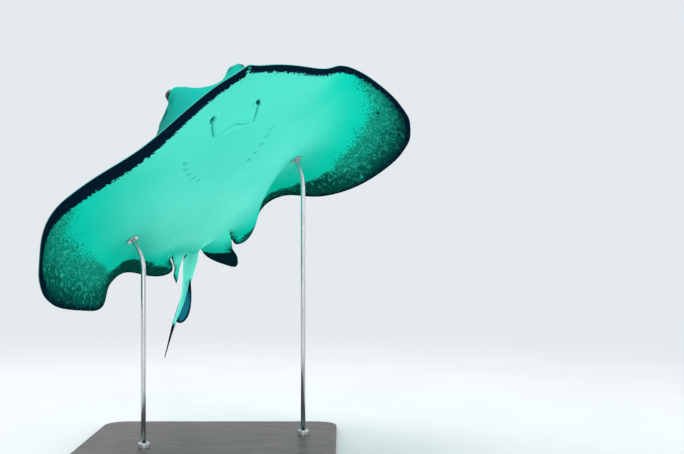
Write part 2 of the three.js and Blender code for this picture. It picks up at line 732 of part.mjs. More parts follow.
for (const [side, wing] of Object.entries(WINGS)) {
  const { span, chord } = ROD_SEATS[side];
  const under = discBelly(span, chord) + PAD.clearance + PAD.thick;
  const seat = posed(wing, wingSlope, span, chord, -under).applyMatrix4(ray.matrixWorld);
  const deeper = posed(wing, wingSlope, span, chord, -under - 0.01).applyMatrix4(ray.matrixWorld);
  const away = deeper.sub(seat).normalize();
  ray.add(named(`stand_pad_${side}`, padGeometry(wing, ROD_SEATS[side]), ROD_STEEL));
  const { geometry, foot } = rodGeometry(seat.addScaledVector(away, ROD.clearance), away);
  const collar = named(`stand_collar_${side}`, collarGeometry(), ROD_STEEL);
  collar.position.copy(foot);
  stand.add(named(`stand_rod_${side}`, geometry, ROD_STEEL), collar);
}

const stingray = new THREE.Group();
stingray.add(ray, stand);

export default stingray;
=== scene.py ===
"""A life-size southern stingray held over a flat base: skin, eyes, sting, thorns and stand.

The animal is drawn flat first and then posed. On the flat drawing a place is given by its
chord (how far behind the snout it lies) and its span (how far out from the midline), both
as fractions of the disc width. Height is measured off the middle sheet of the disc.
"""

import logging
import math
from dataclasses import dataclass, field
from enum import Enum
from functools import partialmethod
from typing import Callable

import bmesh
import bpy
import numpy as np
from mathutils import Matrix, Vector


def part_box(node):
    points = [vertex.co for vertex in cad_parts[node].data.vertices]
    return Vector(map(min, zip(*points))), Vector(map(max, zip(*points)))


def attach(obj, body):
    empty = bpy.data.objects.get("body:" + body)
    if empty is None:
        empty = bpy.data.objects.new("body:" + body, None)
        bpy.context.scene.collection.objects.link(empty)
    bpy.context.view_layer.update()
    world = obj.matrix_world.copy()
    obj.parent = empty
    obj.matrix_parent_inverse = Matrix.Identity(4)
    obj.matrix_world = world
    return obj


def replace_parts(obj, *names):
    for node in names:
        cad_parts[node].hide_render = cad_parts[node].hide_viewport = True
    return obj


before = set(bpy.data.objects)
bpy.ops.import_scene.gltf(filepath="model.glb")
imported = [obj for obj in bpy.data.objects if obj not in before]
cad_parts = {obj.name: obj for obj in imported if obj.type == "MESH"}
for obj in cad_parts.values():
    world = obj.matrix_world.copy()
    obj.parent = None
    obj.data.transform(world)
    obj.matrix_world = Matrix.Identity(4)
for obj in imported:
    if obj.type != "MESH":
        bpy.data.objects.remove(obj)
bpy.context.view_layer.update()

LOG = logging.getLogger("stingray")

Array = np.ndarray
Pair = tuple[Array, Array]
Curve = Callable[[Array], Array]
Mesh = bpy.types.Mesh
Piece = bpy.types.Object
Material = bpy.types.Material

# Every length on the drawing is a fraction of the disc width, which is in metres.
DISC_WIDTH = 1.1

# Chord stations along the body.
AXIL = 0.735
TUCK_START = 0.755
TAIL_ROOT = 0.79
MARGIN_END = 0.8
LOBE_TIP = 0.87
PELVIC_TIP = 0.9
TAIL_TIP = 2.0

# Half thickness of every fin margin.
EDGE = 0.0013
TINY = 1e-9


# --- small mathematics


def smooth(start: float, end: float, value: Array) -> Array:
    """Rises from 0 at start to 1 at end, level at both."""
    u = np.clip((np.asarray(value, float) - start) / (end - start), 0.0, 1.0)
    return u * u * (3.0 - 2.0 * u)


def bump(centre: float, width: float, value: Array) -> Array:
    """A round hill of height 1 at centre."""
    return np.exp(-(((np.asarray(value, float) - centre) / width) ** 2))


def mix(low: Array, high: Array, share: Array) -> Array:
    """Goes from low to high as share goes from 0 to 1."""
    return low + (high - low) * share


def unit(vectors: Array) -> Array:
    """Vectors of the same direction and length 1."""
    return vectors / np.maximum(np.linalg.norm(vectors, axis=-1, keepdims=True), TINY)


class Profile:
    """A curve through a few knots that never overshoots between them."""

    def __init__(self, *knots: tuple[float, float]) -> None:
        """Takes the knots.

        Args:
            knots: (place, value) pairs, in rising order of place.
        """
        self.at, self.value = np.array(knots, float).T
        rise = np.diff(self.value) / np.diff(self.at)
        before, after = rise[:-1], rise[1:]
        same = before * after > 0
        inner = np.where(same, 2 * before * after / np.where(same, before + after, 1.0), 0.0)
        self.slope = np.concatenate(([rise[0]], inner, [rise[-1]]))

    def __call__(self, place: Array) -> Array:
        """Reads the curve.

        Args:
            place: Where, held to the first and the last knot.

        Returns:
            The curve's value at each place.
        """
        v = np.clip(np.asarray(place, float), self.at[0], self.at[-1])
        k = np.clip(np.searchsorted(self.at, v) - 1, 0, len(self.at) - 2)
        step = self.at[k + 1] - self.at[k]
        u = (v - self.at[k]) / step
        w = 1 - u
        return (
            (1 + 2 * u) * w * w * self.value[k]
            + u * w * w * step * self.slope[k]
            + u * u * (3 - 2 * u) * self.value[k + 1]
            + u * u * (u - 1) * step * self.slope[k + 1]
        )


class RoundedProfile(Profile):
    """A profile along the chord that rounds off at the snout and at the rear lobe."""

    def __init__(self, *knots: tuple[float, float]) -> None:
        """Takes (chord, value) knots, in rising order of chord."""
        super().__init__(*((float(self.turn(chord)), value) for chord, value in knots))

    @staticmethod
    def turn(chord: Array) -> Array:
        """The angle that stands for a chord, from 0 at the snout to pi at the lobe."""
        return np.arccos(np.clip(1 - 2 * np.asarray(chord, float) / LOBE_TIP, -1, 1))

    def __call__(self, place: Array) -> Array:
        """The curve's value at each chord."""
        return super().__call__(self.turn(place))


@dataclass(frozen=True)
class Hill:
    """A rounded rise or, where its height is below 0, a hollow on each side of the midline."""

    height: float
    chord: float
    length: float
    span: float
    width: float

    def at(self, span: Array, chord: Array) -> Array:
        """The hill's height at each place."""
        return self.height * bump(self.chord, self.length, chord) * bump(self.span, self.width, np.abs(span))


# --- the flat drawing

# Outer margin: snout, pointed wing tip, rounded rear lobe.
half_span = RoundedProfile(
    (0, 0), (0.003, 0.008), (0.012, 0.0265), (0.035, 0.068), (0.1, 0.16), (0.2, 0.284), (0.3, 0.402),
    (0.36, 0.464), (0.41, 0.495), (0.45, 0.5), (0.49, 0.487), (0.55, 0.445), (0.65, 0.355),
    (0.74, 0.265), (0.8, 0.213), (0.854, 0.159), (LOBE_TIP, 0.128),
)
# Inner margin of the rear lobe. It starts at the axil, where the pelvic fin starts too.
AXIL_SPAN = 0.078
CORE_AXIL = 0.034
TAIL_HALF = 0.0155
lobe_inner = RoundedProfile(
    (AXIL, AXIL_SPAN), (0.8, 0.0905), (0.84, 0.106), (0.858, 0.112), (LOBE_TIP, 0.128),
)
pelvic_outer = Profile(
    (AXIL, AXIL_SPAN), (0.79, 0.0845), (0.84, 0.102), (0.87, 0.109), (0.89, 0.1075), (0.897, 0.103),
    (PELVIC_TIP, 0.0965),
)
pelvic_inner = Profile(
    (TAIL_ROOT, TAIL_HALF), (0.81, 0.0215), (0.835, 0.029), (0.86, 0.042), (0.88, 0.06), (0.893, 0.08),
    (PELVIC_TIP, 0.0965),
)
# Half width of the rump behind the axil, and then of the tail.
core_half = Profile(
    (AXIL, CORE_AXIL), (TAIL_ROOT, TAIL_HALF), (0.84, 0.0175), (0.88, 0.0185), (0.96, 0.0158),
    (1.05, 0.013), (1.17, 0.0095), (1.38, 0.0062), (1.56, 0.0042), (1.8, 0.0023), (TAIL_TIP, 0.0012),
)
back_rise = Profile(
    (0, 0), (0.04, 0.002), (0.08, 0.009), (0.12, 0.024), (0.16, 0.057), (0.2, 0.088), (0.26, 0.096),
    (0.34, 0.097), (0.44, 0.09), (0.55, 0.072), (0.66, 0.051), (AXIL, 0.031), (TAIL_ROOT, 0.024),
    (0.88, 0.0185), (0.96, 0.015), (1.05, 0.0118), (1.17, 0.0082), (1.38, 0.0058), (1.56, 0.004),
    (1.8, 0.0022), (TAIL_TIP, 0.0012),
)
belly_drop = Profile(
    (0, 0), (0.06, 0.003), (0.12, 0.009), (0.2, 0.015), (0.35, 0.021), (0.5, 0.023), (0.65, 0.02),
    (AXIL, 0.017), (TAIL_ROOT, 0.015), (0.88, 0.013), (0.96, 0.0115), (1.05, 0.0098), (1.17, 0.0075),
    (1.38, 0.0056), (1.56, 0.004), (1.8, 0.0022), (TAIL_TIP, 0.0012),
)
wing_body = Profile((0, 0.05), (0.08, 0.35), (0.25, 1), (0.5, 1), (0.7, 0.55), (LOBE_TIP, 0.25))


# Height of the flesh where a pelvic fin leaves the side of the tail's root, and how far it spreads.
SIDE_ROOT = 0.0045
SIDE_SPREAD = 0.022
SIDE_END = 0.835
TAIL_POINT = 0.012
LOBE_THIN = 0.03
PELVIC_THIN = 0.02


def thinned(height: Array, inward: Array, reach: float, chord: Array) -> Array:
    """A fin's height, thinned behind the axil over the reach inward from its free margin."""
    thick = 1 - smooth(AXIL, MARGIN_END, chord) * (1 - smooth(0, reach, inward))
    return EDGE + (height - EDGE) * thick


def side_inset(chord: Array) -> Array:
    """How far the rounding of the tail's side reaches in from its margin."""
    return np.minimum(EDGE, 0.45 * core_half(chord)) * smooth(TAIL_ROOT, SIDE_END, chord)


@dataclass(frozen=True)
class DiscSide:
    """The back or the belly, as heights off the middle sheet.

    The wing's thickness fades to the margin, and the body's dome and the hills lie on it.
    """

    rise: Profile
    width: Profile
    power: Profile
    wing: float
    fade_from: float
    hills: tuple[Hill, ...] = ()

    def disc(self, span: Array, chord: Array) -> Array:
        """Height of the disc.

        Args:
            span, chord: Places on the drawing.

        Returns:
            Heights off the middle sheet.
        """
        out = np.minimum(span / np.maximum(half_span(chord), TINY), 1)
        dome = self.rise(chord) * np.exp(-((span / self.width(chord)) ** self.power(chord)))
        dome = dome + sum(hill.at(span, chord) for hill in self.hills)
        wing = (1 - out * out) * self.wing * wing_body(chord)
        return EDGE + wing + (1 - smooth(self.fade_from, 1, out)) * dome

    def lobe(self, span: Array, chord: Array) -> Array:
        """Height of a rear lobe, which thins towards its inner margin too."""
        return thinned(self.disc(span, chord), span - lobe_inner(chord), LOBE_THIN, chord)

    def core(self, span: Array, chord: Array) -> Array:
        """Height of the rump and tail, which draw in from the disc's section to an oval.

        Args:
            span, chord: Places on the drawing.

        Returns:
            Heights off the middle sheet.
        """
        half = core_half(chord)
        inside = np.minimum(span, half - side_inset(chord))
        oval = self.rise(chord) * np.sqrt(np.clip(1 - (inside / half) ** 2, 0, 1))
        side = SIDE_ROOT * (1 - smooth(TAIL_ROOT, SIDE_END, chord))
        tip = np.sqrt(np.clip((TAIL_TIP - chord) / TAIL_POINT, 0.04, 1))
        turned = smooth(AXIL, TAIL_ROOT, chord)
        return mix(self.disc(span, np.minimum(chord, AXIL)), np.hypot(oval, side) * tip, turned)

    def pelvic(self, span: Array, chord: Array) -> Array:
        """Height of a pelvic fin, which is fleshy at its root and thin at its free margins.

        Args:
            span, chord: Places on the drawing.

        Returns:
            Heights off the middle sheet.
        """
        root = core_half(np.minimum(chord, TAIL_ROOT))
        away = np.hypot(span - root, np.maximum(chord - TAIL_ROOT, 0))
        fin = EDGE + (SIDE_ROOT - EDGE) * bump(0, SIDE_SPREAD, away)
        body = mix(self.disc(span, np.minimum(chord, AXIL)), fin, smooth(AXIL, TAIL_ROOT, chord))
        return thinned(body, pelvic_outer(chord) - span, PELVIC_THIN, chord)


BACK = DiscSide(
    rise=back_rise,
    width=Profile((0, 0.03), (0.1, 0.08), (0.2, 0.112), (0.27, 0.146), (0.34, 0.157), (0.5, 0.138),
                  (0.66, 0.094), (AXIL, 0.055)),
    power=Profile((0, 2.2), (0.12, 3.2), (0.21, 3.8), (0.34, 3.3), (0.6, 2.2)),
    wing=0.017, fade_from=0.85,
    # The rims over the eyes, and the valley between them.
    hills=(Hill(0.027, 0.207, 0.04, 0.063, 0.019), Hill(-0.018, 0.195, 0.055, 0, 0.05)),
)
BELLY = DiscSide(
    rise=belly_drop,
    width=Profile((0, 0.04), (0.15, 0.115), (0.4, 0.15), (0.65, 0.105), (AXIL, 0.07)),
    power=Profile((0, 2.4), (LOBE_TIP, 2.4)),
    wing=0.008, fade_from=0.8,
)


# --- posing


@dataclass(frozen=True)
class Fold:
    """A bend of a wing round one line along it: degrees, and where on the span it acts."""

    angle: float
    centre: float
    width: float

    def at(self, span: Array) -> Array:
        """The slope it adds at each span."""
        return self.angle * bump(self.centre, self.width, span)


# Where the bends of every wing set in and reach their full slope, along the chord and the span.
LEAD_CHORDS = (0.15, 0.6)
TRAIL_CHORDS = (0.4, 0.72)
DROOP_SPANS = (0.12, 0.4)
ROOT_RISE = (0, 0.1)
ROOT_FALL = (0.15, 0.3)
CURL_SPANS = (0.36, 0.47)
LOBE_SPANS = (0.06, 0.1)
LOBE_CHORDS = (0.72, 0.84)
LOBE_FOLD = (0.12, 0.06)
PELVIC_HINGE = 0.018
PELVIC_CHORDS = (AXIL, 0.785)


@dataclass(frozen=True)
class Wing:
    """How one wing and its pelvic fin are bent, with slopes in degrees."""

    name: str
    side: int
    tip_droop: float
    root_lift: float
    lobe_drop: float
    tip_curl: float
    lead: Fold
    trail: Fold
    fall: Fold
    pelvic_droop: float
    pelvic_reach: float
    pelvic_spread: float
    lobe_tuck: float
    flare: float

    def slope(self, span: Array, chord: Array) -> Array:
        """Slope of the middle sheet.

        Args:
            span, chord: Places on the drawing.

        Returns:
            Slopes in radians, rising outward.
        """
        rear = smooth(*TRAIL_CHORDS, chord)
        lobe = smooth(*LOBE_SPANS, span) * smooth(*LOBE_CHORDS, chord) * bump(*LOBE_FOLD, span)
        return np.radians(
            -self.tip_droop * smooth(*DROOP_SPANS, span)
            + self.lead.at(span) * (1 - smooth(*LEAD_CHORDS, chord))
            + self.root_lift * smooth(*ROOT_RISE, span) * (1 - smooth(*ROOT_FALL, span))
            + (self.trail.at(span) + self.fall.at(span)) * rear
            - self.lobe_drop * lobe
            - self.tip_curl * smooth(*CURL_SPANS, span)
        )

    def pelvic_slope(self, span: Array, chord: Array) -> Array:
        """The same for the pelvic fin, which turns down outside its root."""
        outside = span - core_half(np.minimum(chord, TAIL_ROOT))
        turned = smooth(0, PELVIC_HINGE, outside) * smooth(*PELVIC_CHORDS, chord)
        return self.slope(span, chord) - math.radians(self.pelvic_droop) * turned


LEFT = Wing(
    "left", -1, tip_droop=18.4, root_lift=-0.8, lobe_drop=6.0, tip_curl=15.9,
    lead=Fold(38.4, 0.274, 0.067), trail=Fold(64.0, 0.181, 0.036), fall=Fold(-55.0, 0.321, 0.101),
    pelvic_droop=46, pelvic_reach=0.72, pelvic_spread=0.012, lobe_tuck=0.0075, flare=0.0,
)
RIGHT = Wing(
    "right", 1, tip_droop=-2.9, root_lift=-9.6, lobe_drop=-11.6, tip_curl=59.8,
    lead=Fold(11.2, 0.27, 0.073), trail=Fold(41.4, 0.179, 0.031), fall=Fold(-70.0, 0.352, 0.108),
    pelvic_droop=34, pelvic_reach=0.43, pelvic_spread=0.0135, lobe_tuck=0.0365, flare=0.0214,
)
WINGS = (LEFT, RIGHT)

SNOUT_DROOP = 0.0165
SNOUT_FLAP = 0.14
SNOUT_POINT = 0.007
SNOUT_ROUND = 0.022
SWAY = 0.026
SWAY_START = 0.58
SWAY_SPANS = (0.03, 0.14)
FLARE_LINE = (0.645, 0.05)
FLARE_SPANS = (0.2, 0.34)
BEND_STEPS = 24


def sway(chord: Array) -> Array:
    """How far the rump swings to the animal's right."""
    return SWAY * smooth(SWAY_START, TAIL_ROOT, chord)


def bend(wing: Wing, slope: Callable, span: Array, chord: Array, height: Array) -> Array:
    """Carries places on one side of the drawing to the posed body.

    Args:
        wing: The wing on that side.
        slope: Slope of the sheet at a span and chord.
        span, chord: Places on the drawing.
        height: Heights off the middle sheet.

    Returns:
        Points in the body's frame: right, forward, up.
    """
    x = np.zeros_like(span)
    z = -SNOUT_DROOP * np.maximum(0, 1 - chord / SNOUT_FLAP) ** 2
    step = span / BEND_STEPS
    for k in range(BEND_STEPS):
        angle = slope((k + 0.5) * step, chord)
        x = x + np.cos(angle) * step
        z = z + np.sin(angle) * step
    end = slope(span, chord)
    drawn_out = wing.flare * bump(*FLARE_LINE, chord) * smooth(*FLARE_SPANS, span)
    x = x + np.cos(end) * drawn_out - np.sin(end) * height
    z = z + np.sin(end) * drawn_out + np.cos(end) * height
    swayed = sway(chord) * (1 - smooth(*SWAY_SPANS, span))
    ahead = SNOUT_POINT * bump(0, SNOUT_ROUND, span) * bump(0, SNOUT_ROUND, chord)
    return np.stack([wing.side * x + swayed, ahead - chord, z], axis=-1)


@dataclass(frozen=True)
class TailCarriage:
    """The tail's middle line, in disc widths over its whole length."""

    lift: float = 0.161
    drift: float = -0.101
    ease: float = 0.06
    bow: float = -0.01
    bow_share: float = 0.7
    look_ahead: float = 0.004

    def centre(self, chord: Array) -> Array:
        """Points of the middle line.

        Args:
            chord: Where along the body.

        Returns:
            Points in the body's frame.
        """
        along = np.maximum(0, (chord - TAIL_ROOT) / (TAIL_TIP - TAIL_ROOT))
        eased = along - self.ease * (1 - np.exp(-along / self.ease))
        bow = self.bow * np.sin(np.pi * np.minimum(1, along / self.bow_share)) ** 2
        return np.stack([sway(chord) + self.drift * eased + bow, -chord, self.lift * eased], axis=-1)

    def point(self, chord: Array, sideways: Array, height: Array) -> Array:
        """Points beside and over the middle line.

        Args:
            chord: Where along the body.
            sideways: Distances to the animal's right.
            height: Heights over the line.

        Returns:
            Points in the body's frame.
        """
        centre = self.centre(chord)
        tangent = unit(self.centre(chord + self.look_ahead) - centre)
        right = unit(np.cross(tangent, np.array([0.0, 0.0, 1.0])))
        up = unit(np.cross(right, tangent))
        return centre + right * sideways[:, None] + up * height[:, None]


TAIL = TailCarriage()


# --- the skin's net

# On the net, a point is (signed span, -chord, layer). The layer is +LAYER on the back and
# -LAYER on the belly, runs between them round the margins, and goes past them on the
# tail's keel and fold by their height.
LAYER = 0.05
WELD = 1e-6
BLADE_STUB = 2e-4
# Over this stretch behind its start, a free margin's rounding grows to its full size.
RIM_GROWTH = 0.012
TURN_END = 1e-4
NUDGE = 1e-5


@dataclass(frozen=True)
class Blade:
    """A thin blade of skin along the tail's midline."""

    sheet: int
    start: float
    end: float
    depth: float
    half: float
    skew: float
    power: float
    flank_steps: int = 7
    edge_thin: float = 0.9

    def reach(self, chord: Array) -> Array:
        """The blade's height.

        Args:
            chord: Where along the body.

        Returns:
            Its height at each, 0 where it is a mere stub.
        """
        along = np.clip((chord - self.start) / (self.end - self.start), 0, 1)
        height = self.depth * np.maximum(np.sin(np.pi * along**self.skew), 0) ** self.power
        return np.where(height < BLADE_STUB, 0.0, height)

    def foot(self, chord: Array) -> Array:
        """The blade's half thickness at its foot."""
        return self.half * smooth(0, 3 * self.half, self.reach(chord))


KEEL = Blade(sheet=1, start=1.2, end=1.78, depth=0.0055, half=0.0009, skew=0.5, power=1.0)
FOLD = Blade(sheet=-1, start=0.99, end=1.47, depth=0.036, half=0.001, skew=1.25, power=0.6)


def lifted(flat: Array, layer: float) -> Array:
    """Places (span, chord) as points of the net on one layer."""
    return np.concatenate([flat[..., :1], -flat[..., 1:], np.full_like(flat[..., :1], layer)], axis=-1)


def margin_points(curve: Curve, chord: Array) -> Array:
    """The (span, chord) points of a margin at each chord."""
    return np.stack([curve(chord), chord], axis=-1)


def turned_points(curve: Curve, turn: Array) -> Array:
    """The same at each turn that stands for a chord."""
    return margin_points(curve, LOBE_TIP * (1 - np.cos(turn)) / 2)


def outward(points: Callable, curve: Curve, places: Array, side: int) -> Array:
    """Unit normals of a margin, off the fin where side is +1 for an outer margin and -1 for an inner one."""
    tangent = unit(points(curve, places + NUDGE) - points(curve, places - NUDGE))
    return side * np.stack([tangent[:, 1], -tangent[:, 0]], axis=-1)


def shares(steps: int) -> Array:
    """Even steps from 0 to 1."""
    return np.linspace(0, 1, steps + 1)


@dataclass
class Net:
    """Welds grids of points into one closed net, and mirrors them to the other side."""

    rim_steps: int = 6
    points: list[Array] = field(default_factory=list)
    quads: list[Array] = field(default_factory=list)
    count: int = 0

    def grid(self, block: Array) -> None:
        """Adds a block of points and its mirror image.

        Args:
            block: Rows by columns of the net's points.
        """
        rows, columns = block.shape[:2]
        index = np.arange(rows * columns).reshape(rows, columns)
        quad = np.stack([index[:-1, :-1], index[:-1, 1:], index[1:, 1:], index[1:, :-1]], axis=-1)
        for mirrored in (1.0, -1.0):
            self.points.append(block.reshape(-1, 3) * (mirrored, 1.0, 1.0))
            self.quads.append(quad.reshape(-1, 4) + self.count)
            self.count += rows * columns

    def both_sheets(self, flat: Array) -> None:
        """Adds a block of (span, chord) places on the back and on the belly."""
        for sheet in (1.0, -1.0):
            self.grid(lifted(flat, sheet * LAYER))

    def rim(self, edge: Array, step: Array) -> None:
        """Closes a margin from the back round to the belly.

        Args:
            edge: The margin's inset (span, chord) points.
            step: The step outward from each.
        """
        around = np.linspace(np.pi / 2, -np.pi / 2, self.rim_steps + 1)
        flat = edge[:, None] + step[:, None] * np.cos(around)[None, :, None]
        layer = np.broadcast_to(LAYER * np.sin(around), flat.shape[:2])
        self.grid(np.stack([flat[..., 0], -flat[..., 1], layer], axis=-1))

    def mesh(self, name: str) -> Mesh:
        """Welds the net.

        Args:
            name: The mesh's name.

        Returns:
            The net as a mesh.
        """
        points = np.concatenate(self.points)
        _, first, same = np.unique(np.round(points / WELD), axis=0, return_index=True, return_inverse=True)
        faces = [list(dict.fromkeys(quad)) for quad in same.ravel()[np.concatenate(self.quads)].tolist()]
        mesh = bpy.data.meshes.new(name)
        mesh.from_pydata(points[first].tolist(), [], [corners for corners in faces if len(corners) > 2])
        return mesh


@dataclass(frozen=True)
class SkinNet:
    """The flat net of the whole skin, from snout to tail tip.

    The disc, rear lobes, pelvic fins and tail are blocks of one net. They share their
    columns where they join, and a rounded strip closes their margins.
    """

    disc_rows: int = 144
    snout_gather: float = 0.15
    core_columns: int = 10
    pelvic_columns: int = 12
    wing_columns: int = 62
    lobe_rows: int = 18
    lobe_gather: float = 1.8
    rump_rows: int = 9
    pelvic_rows: int = 18
    pelvic_gather: float = 1.5
    tail_rows: int = 132

    def disc(self) -> Pair:
        """Lays out the disc ahead of the axil.

        Returns:
            Its block, and its margin's outward steps.
        """
        u = shares(self.disc_rows)
        chord = AXIL * (1 + self.snout_gather) * u * u / (u + self.snout_gather)
        edge, step = self.outer(RoundedProfile.turn(chord))
        inner_chord = chord + (edge[:, 1] - chord) * (1 - smooth(0, 0.1, chord))
        core_share = Profile((0, 0.17), (0.2, 0.17), (0.45, 0.11), (AXIL, CORE_AXIL / edge[-1, 0]))(chord)
        fin_share = Profile((0, 0.36), (0.2, 0.36), (0.45, 0.235), (AXIL, AXIL_SPAN / edge[-1, 0]))(chord)
        near, middle = shares(self.core_columns), shares(self.pelvic_columns)[1:]
        far = shares(self.wing_columns)[1:]
        share = np.concatenate([
            core_share[:, None] * near,
            mix(core_share[:, None], fin_share[:, None], middle),
            mix(fin_share[:, None], 1.0, far),
        ], axis=1)
        out = np.concatenate([0 * near, 0 * middle, far])
        chords = mix(inner_chord[:, None], edge[:, 1:2], out)
        return np.stack([edge[:, :1] * share, chords], axis=-1), step

    @staticmethod
    def outer(turn: Array) -> Pair:
        """Lays out the outer margin.

        Args:
            turn: The turns that stand for its chords.

        Returns:
            Its inset points, and the steps outward from them.
        """
        inside = np.clip(turn, TURN_END, np.pi - TURN_END)
        step = EDGE * outward(turned_points, half_span, inside, 1)
        step[turn <= 0] = (0, -EDGE)
        step[turn >= np.pi] = (0, EDGE)
        return turned_points(half_span, turn) - step, step

    def lobe(self) -> tuple[Array, Array, Array]:
        """Lays out a rear lobe.

        Returns:
            Its block, and the outward steps of its outer and inner margins.
        """
        chord = LOBE_TIP - (LOBE_TIP - AXIL) * (1 - shares(self.lobe_rows)) ** self.lobe_gather
        turn = RoundedProfile.turn(chord)
        edge, step = self.outer(turn)
        ramp = EDGE * smooth(AXIL, AXIL + RIM_GROWTH, chord)[:, None]
        inner_step = ramp * outward(turned_points, lobe_inner, np.clip(turn, 0, np.pi - TURN_END), -1)
        inner_step[-1] = step[-1]
        inner = turned_points(lobe_inner, turn) - inner_step
        return mix(inner[:, None], edge[:, None], shares(self.wing_columns)[None, :, None]), step, inner_step

    def pelvic(self) -> tuple[Array, Array, Array]:
        """Lays out a pelvic fin.

        Returns:
            Its block, and the outward steps of its outer and inner margins.
        """
        free = (1 - shares(self.pelvic_rows)[1:]) ** self.pelvic_gather
        chord = np.concatenate([self.rump_chords(), PELVIC_TIP - (PELVIC_TIP - TAIL_ROOT) * free])
        edges, steps = [], []
        for curve, start, side in ((pelvic_outer, AXIL, 1), (self.fin_root, TAIL_ROOT, -1)):
            ramp = EDGE * smooth(start, start + RIM_GROWTH, chord)[:, None]
            step = ramp * outward(margin_points, curve, chord, side)
            step[-1] = (0, EDGE)
            steps.append(step)
            edges.append((margin_points(curve, chord) - step)[:, None])
        return mix(edges[1], edges[0], shares(self.pelvic_columns)[None, :, None]), *steps

    @staticmethod
    def fin_root(chord: Array) -> Array:
        """Span of a pelvic fin's inner edge, along the rump and then free."""
        return np.where(chord < TAIL_ROOT, core_half(chord), pelvic_inner(chord))

    def rump_chords(self) -> Array:
        """Stations from the axil to the tail's root."""
        return np.linspace(AXIL, TAIL_ROOT, self.rump_rows + 1)

    def core(self, blade: Blade) -> Array:
        """Lays out one side of the rump and tail.

        Args:
            blade: The blade whose foot it reaches in to.

        Returns:
            Its block of (span, chord) places.
        """
        tail = np.linspace(TAIL_ROOT, TAIL_TIP, self.tail_rows + 1)[1:]
        chord = np.concatenate([self.rump_chords(), tail])
        outer = core_half(chord) - side_inset(chord)
        outer[-1] = 0.0
        u = shares(self.core_columns)[None]
        share = mix(u, np.sin(np.pi / 2 * u), smooth(AXIL, TAIL_ROOT, chord)[:, None])
        foot = blade.foot(chord)[:, None]
        span = foot + (outer[:, None] - foot) * share
        return np.stack([span, np.broadcast_to(chord[:, None], span.shape)], axis=-1)

    def flank(self, blade: Blade) -> Array:
        """Lays out one flank of a blade.

        Args:
            blade: The keel or the fold.

        Returns:
            Its block of the net's points, from its foot to its edge.
        """
        chord = self.core(blade)[:, 0, 1][:, None]
        down = shares(blade.flank_steps)[None]
        span = blade.foot(chord) * np.sqrt(1 - blade.edge_thin * down**2)
        span[:, -1] = 0.0
        layer = blade.sheet * (LAYER + blade.reach(chord) * down)
        return np.stack([span, np.broadcast_to(-chord, span.shape), layer], axis=-1)

    def build(self) -> Net:
        """Lays out the whole net.

        Returns:
            The net.
        """
        net = Net()
        disc, disc_step = self.disc()
        lobe, lobe_step, lobe_inner_step = self.lobe()
        pelvic, pelvic_step, pelvic_inner_step = self.pelvic()
        for block in (disc, lobe, pelvic):
            net.both_sheets(block)
        net.rim(disc[:, -1], disc_step)
        net.rim(lobe[:, -1], lobe_step)
        net.rim(lobe[:, 0], lobe_inner_step)
        net.rim(pelvic[:, -1], pelvic_step)
        net.rim(pelvic[self.rump_rows:, 0], pelvic_inner_step[self.rump_rows:])
        for blade in (KEEL, FOLD):
            net.grid(lifted(self.core(blade), blade.sheet * LAYER))
            net.grid(self.flank(blade))
        side = self.core(KEEL)[self.rump_rows:, -1]
        side_step = np.stack([side_inset(side[:, 1]), np.zeros(len(side))], axis=-1)
        side_step[-1] = 0.0
        net.rim(side, side_step)
        return net


# --- relief of the head and belly

# As the body rolls, its underside slides a little to the animal's right.
BELLY_ROLL = Profile((0, 0), (0.15, 0.0075), (0.21, 0.0075), (0.3, 0.014), (0.5, 0.014), (AXIL, 0.012))


def path_distance(places: Array, path: Array) -> Array:
    """Distances from places to a path.

    Args:
        places: One (x, y) row for each place.
        path: The path's points, in order.

    Returns:
        The distance of each place from the nearest point of the path.
    """
    best = np.full(len(places), np.inf)
    for start, end in zip(path, path[1:]):
        length = np.linalg.norm(end - start)
        line = (end - start) / length
        reach = np.clip((places - start) @ line, 0, length)
        best = np.minimum(best, np.linalg.norm(places - start - reach[:, None] * line, axis=1))
    return best


def rounded_path(knots: tuple, steps: int = 8) -> Array:
    """Draws a smooth path through its knots.

    Args:
        knots: (x, y) pairs in order.
        steps: Points from each knot to the next.

    Returns:
        The path's points.
    """
    points = np.array([knots[0], *knots, knots[-1]], float)
    made = []
    for a, b, c, d in zip(points, points[1:], points[2:], points[3:]):
        for u in np.linspace(0, 1, steps, endpoint=False):
            curve = (2 * a - 5 * b + 4 * c - d) * u**2 + (3 * b - 3 * c + d - a) * u**3
            made.append(0.5 * (2 * b + (c - a) * u + curve))
    return np.array([*made, points[-1]])


@dataclass(frozen=True)
class Feature:
    """A small feature of the belly: how wide and deep its slits are, and whether it is a pit."""

    width: float = 0.002
    depth: float = 0.0045
    ends: tuple = (0.6, 1.1)
    pit: bool = False

    def slit(self, across: Array, along: Array) -> Array:
        """How far into a slit each place lies, from its distance across and its share along."""
        return bump(0, self.width, across) * (1 - smooth(*self.ends, np.abs(along)))

    def relief(self, x: Array, chord: Array) -> Pair:
        """Measures the feature.

        Args:
            x: Signed spans, with the body's roll taken off.
            chord: Where along the body.

        Returns:
            Its relief outward, and how deep in shade each place lies.
        """
        raise NotImplementedError


